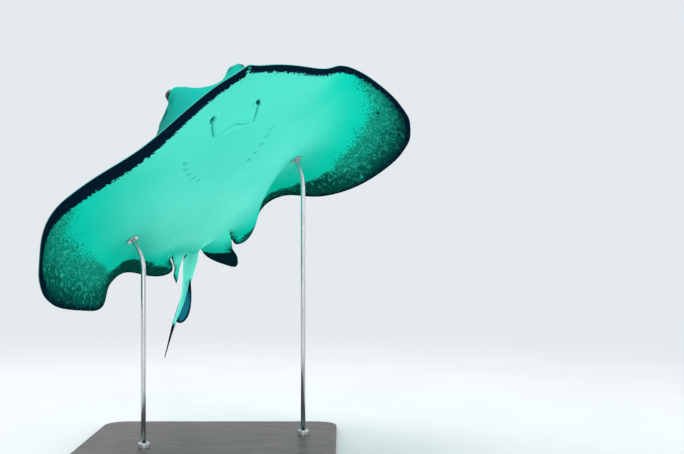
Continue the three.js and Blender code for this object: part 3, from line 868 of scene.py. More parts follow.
@dataclass(frozen=True)
class Mouth(Feature):
    """The nasal curtain, and the mouth under its fringed rear edge."""

    width: float = 0.0021
    depth: float = 0.005
    lip: tuple = ((0.0, 0.189), (0.01, 0.1935), (0.023, 0.2015), (0.038, 0.2055), (0.0485, 0.2075))
    groove: tuple = ((0.0485, 0.2075), (0.0515, 0.192), (0.053, 0.174), (0.0545, 0.158))
    groove_share: float = 0.75
    curtain: float = 0.0022
    curtain_chords: tuple = (0.155, 0.186)
    curtain_sides: tuple = (0.04, 0.054)
    edge_round: float = 0.0015
    jaw: Hill = Hill(0.0016, 0.213, 0.007, 0, 0.03)
    fringe: float = 0.0004
    fringe_pace: float = 1500.0
    fringe_band: tuple = (0.004, 0.006)

    def relief(self, x: Array, chord: Array) -> Pair:
        """The relief and the shade round the mouth."""
        span = np.abs(x)
        lip, side = (path_distance(np.stack([span, chord], axis=-1), rounded_path(path))
                     for path in (self.lip, self.groove))
        slit = np.maximum(bump(0, self.width, lip), self.groove_share * bump(0, self.width, side))
        ahead = np.interp(span, *np.array(self.lip).T) - chord
        swell = smooth(*self.curtain_chords, chord) * (1 - smooth(*self.curtain_sides, span))
        swell = swell * smooth(-self.edge_round, self.edge_round, ahead)
        fringe = self.fringe * np.sin(span * self.fringe_pace) * bump(*self.fringe_band, ahead)
        return (self.curtain + fringe) * swell + self.jaw.at(x, chord) - self.depth * slit, slit


@dataclass(frozen=True)
class Nostril(Feature):
    """A comma-shaped nostril in front of each corner of the mouth."""

    depth: float = 0.008
    pit: bool = True
    span: float = 0.0545
    chord: float = 0.151
    half_length: float = 0.015
    half_width: float = 0.007
    slant: float = 20.0
    taper: float = 0.35
    hole: tuple = (0.35, 1.0)
    floor: tuple = (1.2, -0.6)
    flap: float = 0.0016
    flap_ring: tuple = (1.15, 0.35)
    flap_side: tuple = (0.002, -0.004)
    shade: float = 0.75

    def relief(self, x: Array, chord: Array) -> Pair:
        """The relief and the shade round the nostrils."""
        angle = math.radians(self.slant)
        back, out = chord - self.chord, np.abs(x) - self.span
        along = (back * math.cos(angle) + out * math.sin(angle)) / self.half_length
        across = out * math.cos(angle) - back * math.sin(angle)
        narrowed = self.half_width * (1 - self.taper * np.clip(along, -1, 1))
        away = np.hypot(along, across / narrowed)
        pit = 1 - smooth(*self.hole, away)
        flap = self.flap * bump(*self.flap_ring, away) * smooth(*self.flap_side, across)
        return flap - self.depth * pit * smooth(*self.floor, along), self.shade * pit


@dataclass(frozen=True)
class GillSlits(Feature):
    """Five short slits on each side, behind the mouth, each under a low flap."""

    width: float = 0.0018
    depth: float = 0.004
    rows: tuple = ((0.105, 0.266), (0.101, 0.29), (0.092, 0.314), (0.08, 0.338), (0.067, 0.36))
    half_length: float = 0.0085
    first_tilt: float = -14.0
    tilt_step: float = 9.0
    bow: float = 0.0022
    flap: float = 0.0016
    flap_band: tuple = (-0.0035, 0.0028)
    shade: float = 0.42
    shade_band: tuple = (0.002, 0.008)

    def relief(self, x: Array, chord: Array) -> Pair:
        """The relief and the shade round the slits."""
        total, shade = np.zeros((2, len(x)))
        for order, (span, row) in enumerate(self.rows):
            tilt = math.radians(self.first_tilt + self.tilt_step * order)
            out, back = np.abs(x) - span, chord - row
            along = (out * math.cos(tilt) + back * math.sin(tilt)) / self.half_length
            across = back * math.cos(tilt) - out * math.sin(tilt) + self.bow * along**2
            inside = 1 - smooth(*self.ends, np.abs(along))
            slit = self.slit(across, along)
            total += self.flap * bump(*self.flap_band, across) * inside - self.depth * slit
            shade = np.maximum(shade, np.maximum(slit, self.shade * bump(*self.shade_band, across) * inside))
        return total, shade


@dataclass(frozen=True)
class Vent(Feature):
    """The long slit between the pelvic fins, with a low lip round it."""

    chord: float = 0.77
    half_length: float = 0.0105
    lip: float = 0.0012
    lip_band: tuple = (0.0045, 0.003)

    def relief(self, x: Array, chord: Array) -> Pair:
        """The relief and the shade round the vent."""
        along = (chord - self.chord) / self.half_length
        slit = self.slit(x, along)
        lips = bump(*self.lip_band, np.abs(x)) * (1 - smooth(*self.ends, np.abs(along)))
        return self.lip * lips - self.depth * slit, slit


BELLY_FEATURES = (Mouth(), Nostril(), GillSlits(), Vent())
# The shoulder and hip girdles under the skin.
BELLY_HILLS = (Hill(0.003, 0.44, 0.035, 0, 0.14), Hill(0.0028, 0.735, 0.022, 0, 0.05))
# Shoulders, gill domes and hips.
BACK_HILLS = (
    Hill(0.0042, 0.415, 0.035, 0.052, 0.024),
    Hill(0.003, 0.31, 0.055, 0.112, 0.022),
    Hill(0.0025, 0.735, 0.025, 0.036, 0.015),
)
SPINE_HEIGHT = 0.003
SPINE_WIDTH = 0.011
SPINE_START = (0.28, 0.36)
SPINE_END = (0.8, 0.95)


def belly_relief(x: Array, chord: Array) -> Pair:
    """Gathers all the belly's fine relief.

    Args:
        x, chord: Places on the drawing, with signed spans.

    Returns:
        The relief outward, and two columns of shade: in pits, and in creases.
    """
    total = sum(hill.at(x, chord) for hill in BELLY_HILLS)
    shade = np.zeros((len(x), 2))
    moved = x - BELLY_ROLL(chord) * (chord < AXIL)
    for feature in BELLY_FEATURES:
        relief, dark = feature.relief(moved, chord)
        total += relief
        column = 0 if feature.pit else 1
        shade[:, column] = np.maximum(shade[:, column], dark)
    return total, shade


def back_relief(x: Array, chord: Array) -> Array:
    """The back's fine relief outward: spine, shoulders, gill domes and hips."""
    along = smooth(*SPINE_START, chord) * (1 - smooth(*SPINE_END, chord))
    return SPINE_HEIGHT * bump(0, SPINE_WIDTH, x) * along + sum(hill.at(x, chord) for hill in BACK_HILLS)


# --- from the net to the model


@dataclass(frozen=True)
class Region:
    """A window of the net that gets a finer mesh."""

    sheet: int
    span: tuple[float, float]
    chord: tuple[float, float]

    def holds(self, x: float, chord: float, layer: float) -> bool:
        """Whether a place of the net lies in the window, on either side of the midline."""
        inside = self.span[0] <= abs(x) <= self.span[1] and self.chord[0] <= chord <= self.chord[1]
        return inside and layer * self.sheet > 0


# Middles of the eyes and the spiracles: span, chord and height.
EYE_PLACE = (0.0755, 0.205, 0.1045)
SPIRACLE_PLACE = (0.089, 0.243, 0.085)


def box_centre(node: str) -> Array:
    """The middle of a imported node."""
    low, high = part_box(node)
    return np.array((low + high) / 2)


def one_point(wing: Wing, *place: float) -> Array:
    """One place (span, chord, height) of the drawing in the body's frame."""
    return bend(wing, wing.slope, *np.array(place)[:, None])[0]


@dataclass(frozen=True)
class Stance:
    """How the whole animal is turned and where it is set down."""

    heading: float = 193.6
    nose_up: float = 27.6
    bank: float = 24.2

    def turned(self) -> Array:
        """The rotation from the body's frame to the model's."""
        about = [Matrix.Rotation(math.radians(angle), 3, axis)
                 for angle, axis in ((self.heading, "Z"), (self.nose_up, "X"), (self.bank, "Y"))]
        return np.array(about[0] @ about[1] @ about[2])

    def placed(self, body: Array) -> Array:
        """Points of the body's frame, in disc widths, as points of the model in metres."""
        return DISC_WIDTH * body @ self.turned().T + self.offset()

    def offset(self) -> Array:
        """The shift that lays the drawing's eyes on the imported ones."""
        drawn = np.mean([one_point(wing, *EYE_PLACE) for wing in WINGS], axis=0)
        packed = np.mean([box_centre(f"eye_{wing.name}") for wing in WINGS], axis=0)
        return packed - DISC_WIDTH * self.turned() @ drawn


STANCE = Stance()


def net_parts(span: Array, chord: Array) -> tuple[Array, Array, Array]:
    """Sorts the places behind the axil.

    Args:
        span, chord: Places on the drawing.

    Returns:
        Whether each lies on the rump and tail, on a rear lobe, and on a pelvic fin.
    """
    behind = chord > AXIL
    core = behind & (span <= core_half(chord) + 2 * WELD)
    between = (pelvic_outer(chord) + lobe_inner(chord)) / 2
    lobe = behind & ~core & (span > between) & (chord < LOBE_TIP + EDGE)
    return core, lobe, behind & ~core & ~lobe


RELIEF_FADE = 0.02


def net_heights(flat: Array) -> Pair:
    """Lifts the net's points to the skin.

    Args:
        flat: The net's points.

    Returns:
        Signed heights off the middle sheet, and two columns of shade: in pits, and in creases.
    """
    x, chord, layer = flat[:, 0], -flat[:, 1], flat[:, 2]
    span = np.abs(x)
    core, lobe, pelvic = net_parts(span, chord)
    heights = []
    for side in (BACK, BELLY):
        height = side.disc(span, np.minimum(chord, AXIL))
        for part, shape in ((core, side.core), (lobe, side.lobe), (pelvic, side.pelvic)):
            height[part] = shape(span[part], chord[part])
        heights.append(height)
    within = smooth(0.0, RELIEF_FADE, half_span(np.minimum(chord, LOBE_TIP)) - span)
    below, shade = belly_relief(x, chord)
    quiet = within * (chord <= TAIL_ROOT)
    heights[0] += back_relief(x, chord) * within * ~(lobe | pelvic)
    heights[1] += below * quiet
    sheet = np.clip(layer / LAYER, -1, 1)
    blade = np.sign(layer) * np.maximum(np.abs(layer) - LAYER, 0)
    return np.where(sheet > 0, *heights) * sheet + blade, shade * (quiet * (sheet < 0))[:, None]


TUCK_SPANS = (0.1, 0.24)
SPREAD_SPANS = (0.03, 0.075)
SPREAD_END = (0.8, 0.88)
TAIL_JOIN = 0.03


def net_to_body(flat: Array, height: Array) -> Array:
    """Carries the net's points to the posed body.

    Args:
        flat: The net's points.
        height: Their heights off the middle sheet.

    Returns:
        Points in the body's frame.
    """
    x, chord = flat[:, 0], -flat[:, 1]
    span = np.abs(x)
    core, _, pelvic = net_parts(span, chord)
    body = np.zeros_like(flat)
    for wing in WINGS:
        side = x * wing.side >= 0
        mine, fin = side & ~pelvic, side & pelvic
        body[mine] = bend(wing, wing.slope, span[mine], chord[mine], height[mine])
        tucked = wing.lobe_tuck * (1 - smooth(*TUCK_SPANS, span)) * smooth(TUCK_START, LOBE_TIP, chord)
        body[:, 0] -= np.where(mine & ~core, wing.side * tucked, 0.0)
        drawn = chord + (wing.pelvic_reach - 1) * np.maximum(chord - TAIL_ROOT, 0)
        body[fin] = bend(wing, wing.pelvic_slope, span[fin], drawn[fin], height[fin])
        away = smooth(*SPREAD_SPANS, span - core_half(np.clip(chord, AXIL, TAIL_ROOT)))
        away *= smooth(AXIL, TAIL_ROOT, chord) * (1 - smooth(*SPREAD_END, chord))
        body[:, 0] += np.where(fin, wing.side * wing.pelvic_spread * away, 0.0)
    tail = TAIL.point(chord[core], x[core], height[core])
    joined = smooth(TAIL_ROOT - TAIL_JOIN, TAIL_ROOT, chord[core])[:, None]
    body[core] = mix(body[core], tail, joined)
    return body


def skin_point(x: float, chord: float, sheet: int, lift: float = 0.0) -> Vector:
    """Finds a place on the finished skin.

    Args:
        x: Its signed span.
        chord: Its chord.
        sheet: +1 on the back, -1 on the belly.
        lift: How far off the skin, as a fraction of the disc width.

    Returns:
        The place in the model.
    """
    flat = np.array([[x, -chord, sheet * LAYER]])
    height, _ = net_heights(flat)
    return Vector(STANCE.placed(net_to_body(flat, height + sheet * lift))[0])


# --- eye sockets and spiracles


@dataclass(frozen=True)
class Hollow:
    """Something that is drawn into the skin on each side of the head."""

    def work(self, body: Array, wing: Wing) -> Pair:
        """Works one side's skin.

        Args:
            body: Points of the back, in the body's frame.
            wing: The side.

        Returns:
            The moved points, and how deep in shade each lies.
        """
        raise NotImplementedError


@dataclass(frozen=True)
class EyeSocket(Hollow):
    """Lids and brow of an eye, drawn round the eyeball. Angles are in degrees from the gaze."""

    radius: float = 0.0118
    floor: float = 0.9
    lid: float = 1.1
    gaze: tuple = (0.86, 0.22, 0.46)
    open_upper: float = 40.0
    open_lower: float = 58.0
    open_ends: float = 66.0
    inner_share: float = 0.8
    lip_share: float = 1.02
    brow_turn: float = 52.0
    brow_growth: float = 0.02
    brow_hold: float = 0.1
    reach: float = 2.5
    thick: float = 2.2

    def work(self, body: Array, wing: Wing) -> Pair:
        """Draws the skin round the eye."""
        centre = one_point(wing, *EYE_PLACE)
        gaze = unit(np.array(self.gaze) * (wing.side, 1, 1))
        up = unit(np.array([0, 0, 1.0]) - gaze * gaze[2])
        ahead = np.cross(up, gaze) * wing.side
        local = body - centre
        out = local @ gaze
        flat = local - out[:, None] * gaze
        away = np.linalg.norm(flat, axis=1) / self.radius
        toward = unit(flat)
        rise, run = toward @ up, toward @ ahead
        opened = np.where(rise > 0, self.open_upper, self.open_lower)
        opening = np.radians(np.hypot(opened * rise, self.open_ends * run))
        near = (away < self.reach) & (np.abs(out) < self.thick * self.radius)
        inner, lip = self.inner_share * np.sin(opening), self.lip_share * np.sin(opening)
        beyond = np.maximum(away - lip, 0)
        angle = opening * np.clip(away / inner, 0, 1) + math.radians(self.brow_turn) * beyond
        rolled = smooth(0, 1, (away - inner) / (lip - inner))
        size = self.radius * mix(self.floor, self.lid + self.brow_growth * beyond, rolled)
        shell = centre + (size * np.cos(angle))[:, None] * gaze + (size * np.sin(angle))[:, None] * toward
        blend = (1 - smooth(lip + self.brow_hold, self.reach, away)) * near
        return mix(body, shell, blend[:, None]), near * (1 - smooth(inner, lip * 1.05, away))


@dataclass(frozen=True)
class Spiracle(Hollow):
    """The large breathing hole behind an eye. Its rings are shares of the way to its edge."""

    half_length: float = 0.0185
    half_width: float = 0.0085
    taper: float = 0.35
    depth: float = 0.026
    rim: float = 0.0022
    hole: tuple = (0.3, 1.0)
    rim_ring: tuple = (1.25, 0.3)
    shade_ring: tuple = (0.75, 1.05)
    thick: float = 0.035
    facing: tuple = (0.96, -0.06, 0.26)
    long_axis: tuple = (-0.05, -0.97, -0.22)

    def work(self, body: Array, wing: Wing) -> Pair:
        """Sinks the hole."""
        side = np.array([wing.side, 1, 1])
        facing = unit(np.array(self.facing) * side)
        long_axis = np.array(self.long_axis) * side
        long_axis = unit(long_axis - facing * (long_axis @ facing))
        local = body - one_point(wing, *SPIRACLE_PLACE)
        along = local @ long_axis / self.half_length
        across = local @ np.cross(facing, long_axis) / self.half_width
        away = np.hypot(along, across * (1 + self.taper * np.clip(along, -1, 1)))
        near = np.abs(local @ facing) < self.thick
        pit = (1 - smooth(*self.hole, away)) * near
        sunk = self.rim * bump(*self.rim_ring, away) * near - self.depth * pit
        return body + sunk[:, None] * facing, (1 - smooth(*self.shade_ring, away)) * near


# --- where the colours lie


@dataclass(frozen=True)
class SideMarks:
    """Where the belly's colours change on one side: depth of the dark band, start of the mottling."""

    band: Profile
    mottle: Profile
    pelvic_dark: float


MARKS = {
    -1: SideMarks(
        band=Profile((0, 0.022), (0.06, 0.022), (0.12, 0.02), (0.22, 0.018), (0.36, 0.012), (0.5, 0.012)),
        mottle=Profile((0.16, 0.4), (0.275, 0.36), (0.33, 0.385), (0.39, 0.39), (0.46, 0.37), (0.52, 0.34),
                       (0.56, 0.335), (0.6, 0.315), (0.67, 0.28), (0.73, 0.24), (0.77, 0.19), (0.81, 0.14),
                       (LOBE_TIP, 0.115)),
        pelvic_dark=0.812,
    ),
    1: SideMarks(
        band=Profile((0, 0.026), (0.08, 0.038), (0.25, 0.04), (0.36, 0.032), (0.45, 0.024), (0.5, 0.018)),
        mottle=Profile((0.16, 0.4), (0.275, 0.355), (0.34, 0.37), (0.4, 0.37), (0.46, 0.355), (0.5, 0.34),
                       (0.56, 0.31), (0.61, 0.285), (0.66, 0.265), (0.69, 0.22), (0.72, 0.165), (0.79, 0.12),
                       (LOBE_TIP, 0.1)),
        pelvic_dark=0.868,
    ),
}
WING_POINT = 0.45
PELVIC_MIDDLE = 0.07
FAR_OFF = -0.2
# The pale patch in the band beside the snout: its middle and width in span, and its chords.
GAP_SPAN = (-0.003, 0.0095)
GAP_START = (0.003, 0.007)
GAP_END = (0.0156, 0.026)
GAP_DEPTH = -0.001


def margin_distance(places: Array, curve: Curve, start: float, end: float, count: int = 90) -> Array:
    """Distances of places from a stretch of a margin, drawn through count points."""
    turn = np.linspace(RoundedProfile.turn(start), RoundedProfile.turn(end), count)
    return path_distance(places, turned_points(curve, turn))


def lay_marks(flat: Array) -> Array:
    """Measures the skin's places for its colours.

    Args:
        flat: The net's points.

    Returns:
        Three columns: depth into the dark band of the leading margin, distance out past the
        line where the outer wing turns dark, and distance to the nearest free margin.
    """
    x, chord = flat[:, 0], -flat[:, 1]
    span = np.abs(x)
    places = np.stack([span, chord], axis=-1)
    leading = margin_distance(places, half_span, 0.0, WING_POINT)
    trailing = margin_distance(places, half_span, WING_POINT, LOBE_TIP)
    lobe = margin_distance(places, lobe_inner, AXIL, LOBE_TIP, 24)
    fin = path_distance(places, margin_points(pelvic_outer, np.linspace(AXIL, PELVIC_TIP, 24)))
    edge = np.minimum(np.minimum(leading, trailing), np.where(chord > AXIL, np.minimum(lobe, fin), 1.0))
    core, _, pelvic = net_parts(span, chord)
    band, mottle = np.zeros((2, len(x)))
    for side, marks in MARKS.items():
        mine = x * side >= 0
        band[mine] = (marks.band(chord) - leading)[mine]
        out = span - marks.mottle(chord)
        fin_dark = (chord - marks.pelvic_dark) * 1.7 + (span - PELVIC_MIDDLE) * 0.7
        out = np.where(core | pelvic, mix(out, fin_dark, smooth(AXIL, TAIL_ROOT, chord)), out)
        mottle[mine] = out[mine]
    gap = bump(*GAP_SPAN, x) * smooth(*GAP_START, chord) * (1 - smooth(*GAP_END, chord))
    tail = core & (chord > TAIL_ROOT)
    band, mottle = (np.where(tail, FAR_OFF, mark) for mark in (mix(band, GAP_DEPTH, gap), mottle))
    return np.stack([band, mottle, edge], axis=-1)


# --- shader building blocks


class Wire:
    """A value in a node tree. It sums with numbers and other wires by the usual signs."""

    def __init__(self, graph: "Graph", socket: bpy.types.NodeSocket) -> None:
        """Keeps the tree's graph and the socket that gives the value."""
        self.graph = graph
        self.socket = socket

    def maths(self, operation: str, *others: object) -> "Wire":
        """The result of one operation on this value and the others."""
        return self.graph.out("ShaderNodeMath", dict(enumerate((self, *others))), operation=operation)

    __add__ = partialmethod(maths, "ADD")
    __sub__ = partialmethod(maths, "SUBTRACT")
    __mul__ = partialmethod(maths, "MULTIPLY")
    __truediv__ = partialmethod(maths, "DIVIDE")
    __or__ = partialmethod(maths, "MAXIMUM")
    __abs__ = partialmethod(maths, "ABSOLUTE")

    def step(self, start: float, end: float, low: object = 0.0, high: object = 1.0) -> "Wire":
        """Eases from low to high as this value goes from start to end."""
        ends = {"Value": self, "From Min": start, "From Max": end, "To Min": low, "To Max": high}
        return self.graph.out("ShaderNodeMapRange", ends, interpolation_type="SMOOTHSTEP")

    def scatter(self, cloud: object, amount: float) -> "Wire":
        """This value moved up and down by a cloud that lies round one half."""
        return (cloud - 0.5).maths("MULTIPLY_ADD", amount, self)

    def noise(self, scale: object, detail: object = 2.0, rough: float = 0.5, distort: float = 0.0) -> "Wire":
        """A cloudy value round one half, at the places that this vector gives."""
        cloud = {"Vector": self, "Scale": scale, "Detail": detail, "Roughness": rough, "Distortion": distort}
        return self.graph.out("ShaderNodeTexNoise", cloud)

    def effect(self, effect: "Effect", **inputs: object) -> "Wire":
        """A shared effect's output at the places that this vector gives."""
        given = {"Place": self, **{name.title(): value for name, value in inputs.items()}}
        return self.graph.out("ShaderNodeGroup", given, node_tree=effect.group())

    def blend(self, low: object, high: object) -> "Wire":
        """Goes from one colour to another as this value goes from 0 to 1."""
        return self.graph.out("ShaderNodeMix", {0: self, 6: low, 7: high}, 2, data_type="RGBA")

    def joined(self, *others: object) -> "Wire":
        """A vector of this value and the others."""
        return self.graph.out("ShaderNodeCombineXYZ", dict(enumerate((self, *others))))

    def bump(self, distance: float, strength: float) -> "Wire":
        """A normal that shows this height, a share of distance, in metres."""
        height = {"Height": self, "Distance": distance, "Strength": strength}
        return self.graph.out("ShaderNodeBump", height)

    def scaled(self, *factors: float) -> "Wire":
        """This vector with each axis multiplied."""
        return self.graph.out("ShaderNodeVectorMath", {0: self, 1: factors}, operation="MULTIPLY")

    def length(self) -> "Wire":
        """The length of this vector."""
        return self.graph.out("ShaderNodeVectorMath", {0: self}, "Value", operation="LENGTH")

    def split(self) -> list["Wire"]:
        """The three parts of this vector."""
        made = self.graph.node("ShaderNodeSeparateXYZ", {0: self})
        return [Wire(self.graph, socket) for socket in made.outputs]


class Graph:
    """Adds nodes to a node tree and wires them as it goes."""

    def __init__(self, tree: bpy.types.NodeTree) -> None:
        """Keeps the tree to add to."""
        self.tree = tree

    def node(self, kind: str, inputs: dict, **settings: object) -> bpy.types.Node:
        """Adds a node.

        Args:
            kind: The node's type.
            inputs: What each input takes, a wire or a plain value.
            settings: The node's own options.

        Returns:
            The new node.
        """
        made = self.tree.nodes.new(kind)
        for name, value in settings.items():
            setattr(made, name, value)
        return self.feed(made, inputs)

    def feed(self, node: bpy.types.Node, inputs: dict) -> bpy.types.Node:
        """Wires values into a node's inputs, or sets them there.

        Args:
            node: The node.
            inputs: What each input takes, a wire or a plain value.

        Returns:
            The same node.
        """
        for key, value in inputs.items():
            if isinstance(value, Wire):
                self.tree.links.new(value.socket, node.inputs[key])
            else:
                node.inputs[key].default_value = value
        return node

    def out(self, kind: str, inputs: dict, output: object = 0, **settings: object) -> Wire:
        """Adds a node and gives one of its outputs."""
        return Wire(self, self.node(kind, inputs, **settings).outputs[output])

    def attribute(self, name: str) -> Wire:
        """A vector that the mesh carries at its points."""
        return self.out("ShaderNodeAttribute", {}, "Vector", attribute_name=name)

    def place(self) -> Wire:
        """Where on its object a point lies."""
        return self.out("ShaderNodeTexCoord", {}, "Object")


class Effect(Enum):
    """Shader effects that more than one finish uses, and the first values of their inputs."""

    RAGGED_EDGE = {"Value": 0.0, "Scale": 60.0, "Amount": 0.02, "Softness": 0.003, "Detail": 4.0}
    WORM_FLECKS = {"Scale": 100.0, "Width": 0.05, "Cover": 0.5}
    ROUND_SPOTS = {"Scale": 30.0, "Size": 0.2, "Share": 0.3}
    FINE_GRAIN = {"Scale": 300.0, "Broad": 0.4}

    def group(self) -> bpy.types.NodeTree:
        """The effect's node group, built when it is first asked for."""
        return bpy.data.node_groups.get(self.name.lower()) or self.build()

    def build(self) -> bpy.types.NodeTree:
        """Builds the node group.

        Returns:
            The group, with the place and the effect's other inputs, and one mask or height out.
        """
        tree = bpy.data.node_groups.new(self.name.lower(), "ShaderNodeTree")
        tree.interface.new_socket("Place", in_out="INPUT", socket_type="NodeSocketVector")
        for name, value in self.value.items():
            socket = tree.interface.new_socket(name, in_out="INPUT", socket_type="NodeSocketFloat")
            socket.default_value = value
        output = "Height" if self is Effect.FINE_GRAIN else "Mask"
        tree.interface.new_socket(output, in_out="OUTPUT", socket_type="NodeSocketFloat")
        graph = Graph(tree)
        entry = graph.node("NodeGroupInput", {})
        given = {name.lower(): Wire(graph, entry.outputs[name]) for name in ("Place", *self.value)}
        graph.node("NodeGroupOutput", {output: EFFECTS[self](**given)})
        return tree


def ragged_edge(place: Wire, value: Wire, scale: Wire, amount: Wire, softness: Wire, detail: Wire) -> Wire:
    """A mask that starts where a value passes zero, along a torn line."""
    shift = (place.noise(scale, detail, 0.68) - 0.5) * amount
    return (shift.maths("MULTIPLY_ADD", 2.0, value) / softness).step(-1.0, 1.0)


def worm_flecks(place: Wire, scale: Wire, width: Wire, cover: Wire) -> Wire:
    """A mask of short winding flecks and small rings, in patches."""
    patch = (place.noise(scale * 0.55, 2.0, 0.6) + cover * 0.44 - 0.72).step(-0.03, 0.05)
    return (abs(place.noise(scale, 1.0, 0.4, 0.6) - 0.52) / width).step(1.0, 0.35) * patch


def round_spots(place: Wire, scale: Wire, size: Wire, share: Wire) -> Wire:
    """Scatters round spots of mixed sizes.

    Args:
        place: Where.
        scale: Cells to the unit.
        size: A spot's middling radius in its cell.
        share: How many of the cells have a spot.

    Returns:
        Their mask.
    """
    cells = place.graph.node("ShaderNodeTexVoronoi", {"Vector": place, "Scale": scale})
    away, chance = (Wire(place.graph, cells.outputs[name]) for name in ("Distance", "Color"))
    red, green, _ = chance.split()
    return (away / (size * (green + 0.45))).step(1.0, 0.55) * red.maths("LESS_THAN", share)


def fine_grain(place: Wire, scale: Wire, broad: Wire) -> Wire:
    """The height of a fine grain, round one half."""
    fine = place.noise(scale, 3.0, 0.6)
    return fine + (place.noise(scale * 0.12) - fine) * broad


EFFECTS = {
    Effect.RAGGED_EDGE: ragged_edge,
    Effect.WORM_FLECKS: worm_flecks,
    Effect.ROUND_SPOTS: round_spots,
    Effect.FINE_GRAIN: fine_grain,
}


def paint(*levels: int) -> tuple[float, ...]:
    """The light that shaders take for red, green and blue display values from 0 to 255."""
    parts = [level / 255 for level in levels]
    return *(part / 12.92 if part <= 0.04045 else ((part + 0.055) / 1.055) ** 2.4 for part in parts), 1.0


class Finish:
    """A surface of the model, mixed from its own colours."""

    def material(self) -> Material:
        """Mixes it.

        Returns:
            The material.
        """
        raise NotImplementedError


class Coat:
    """A new material, its graph and its Principled shader."""

    def __init__(self, name: str) -> None:
        """Makes an empty material of that name."""
        self.material = bpy.data.materials.new(name)
        self.material.use_nodes = True
        self.graph = Graph(self.material.node_tree)
        self.shader = self.material.node_tree.nodes["Principled BSDF"]

    def dressed(self, **inputs: object) -> Material:
        """The material, its shader fed. Underscores stand for the spaces in its inputs' names."""
        self.graph.feed(self.shader, {key.replace("_", " "): value for key, value in inputs.items()})
        return self.material


# --- finishes of the animal


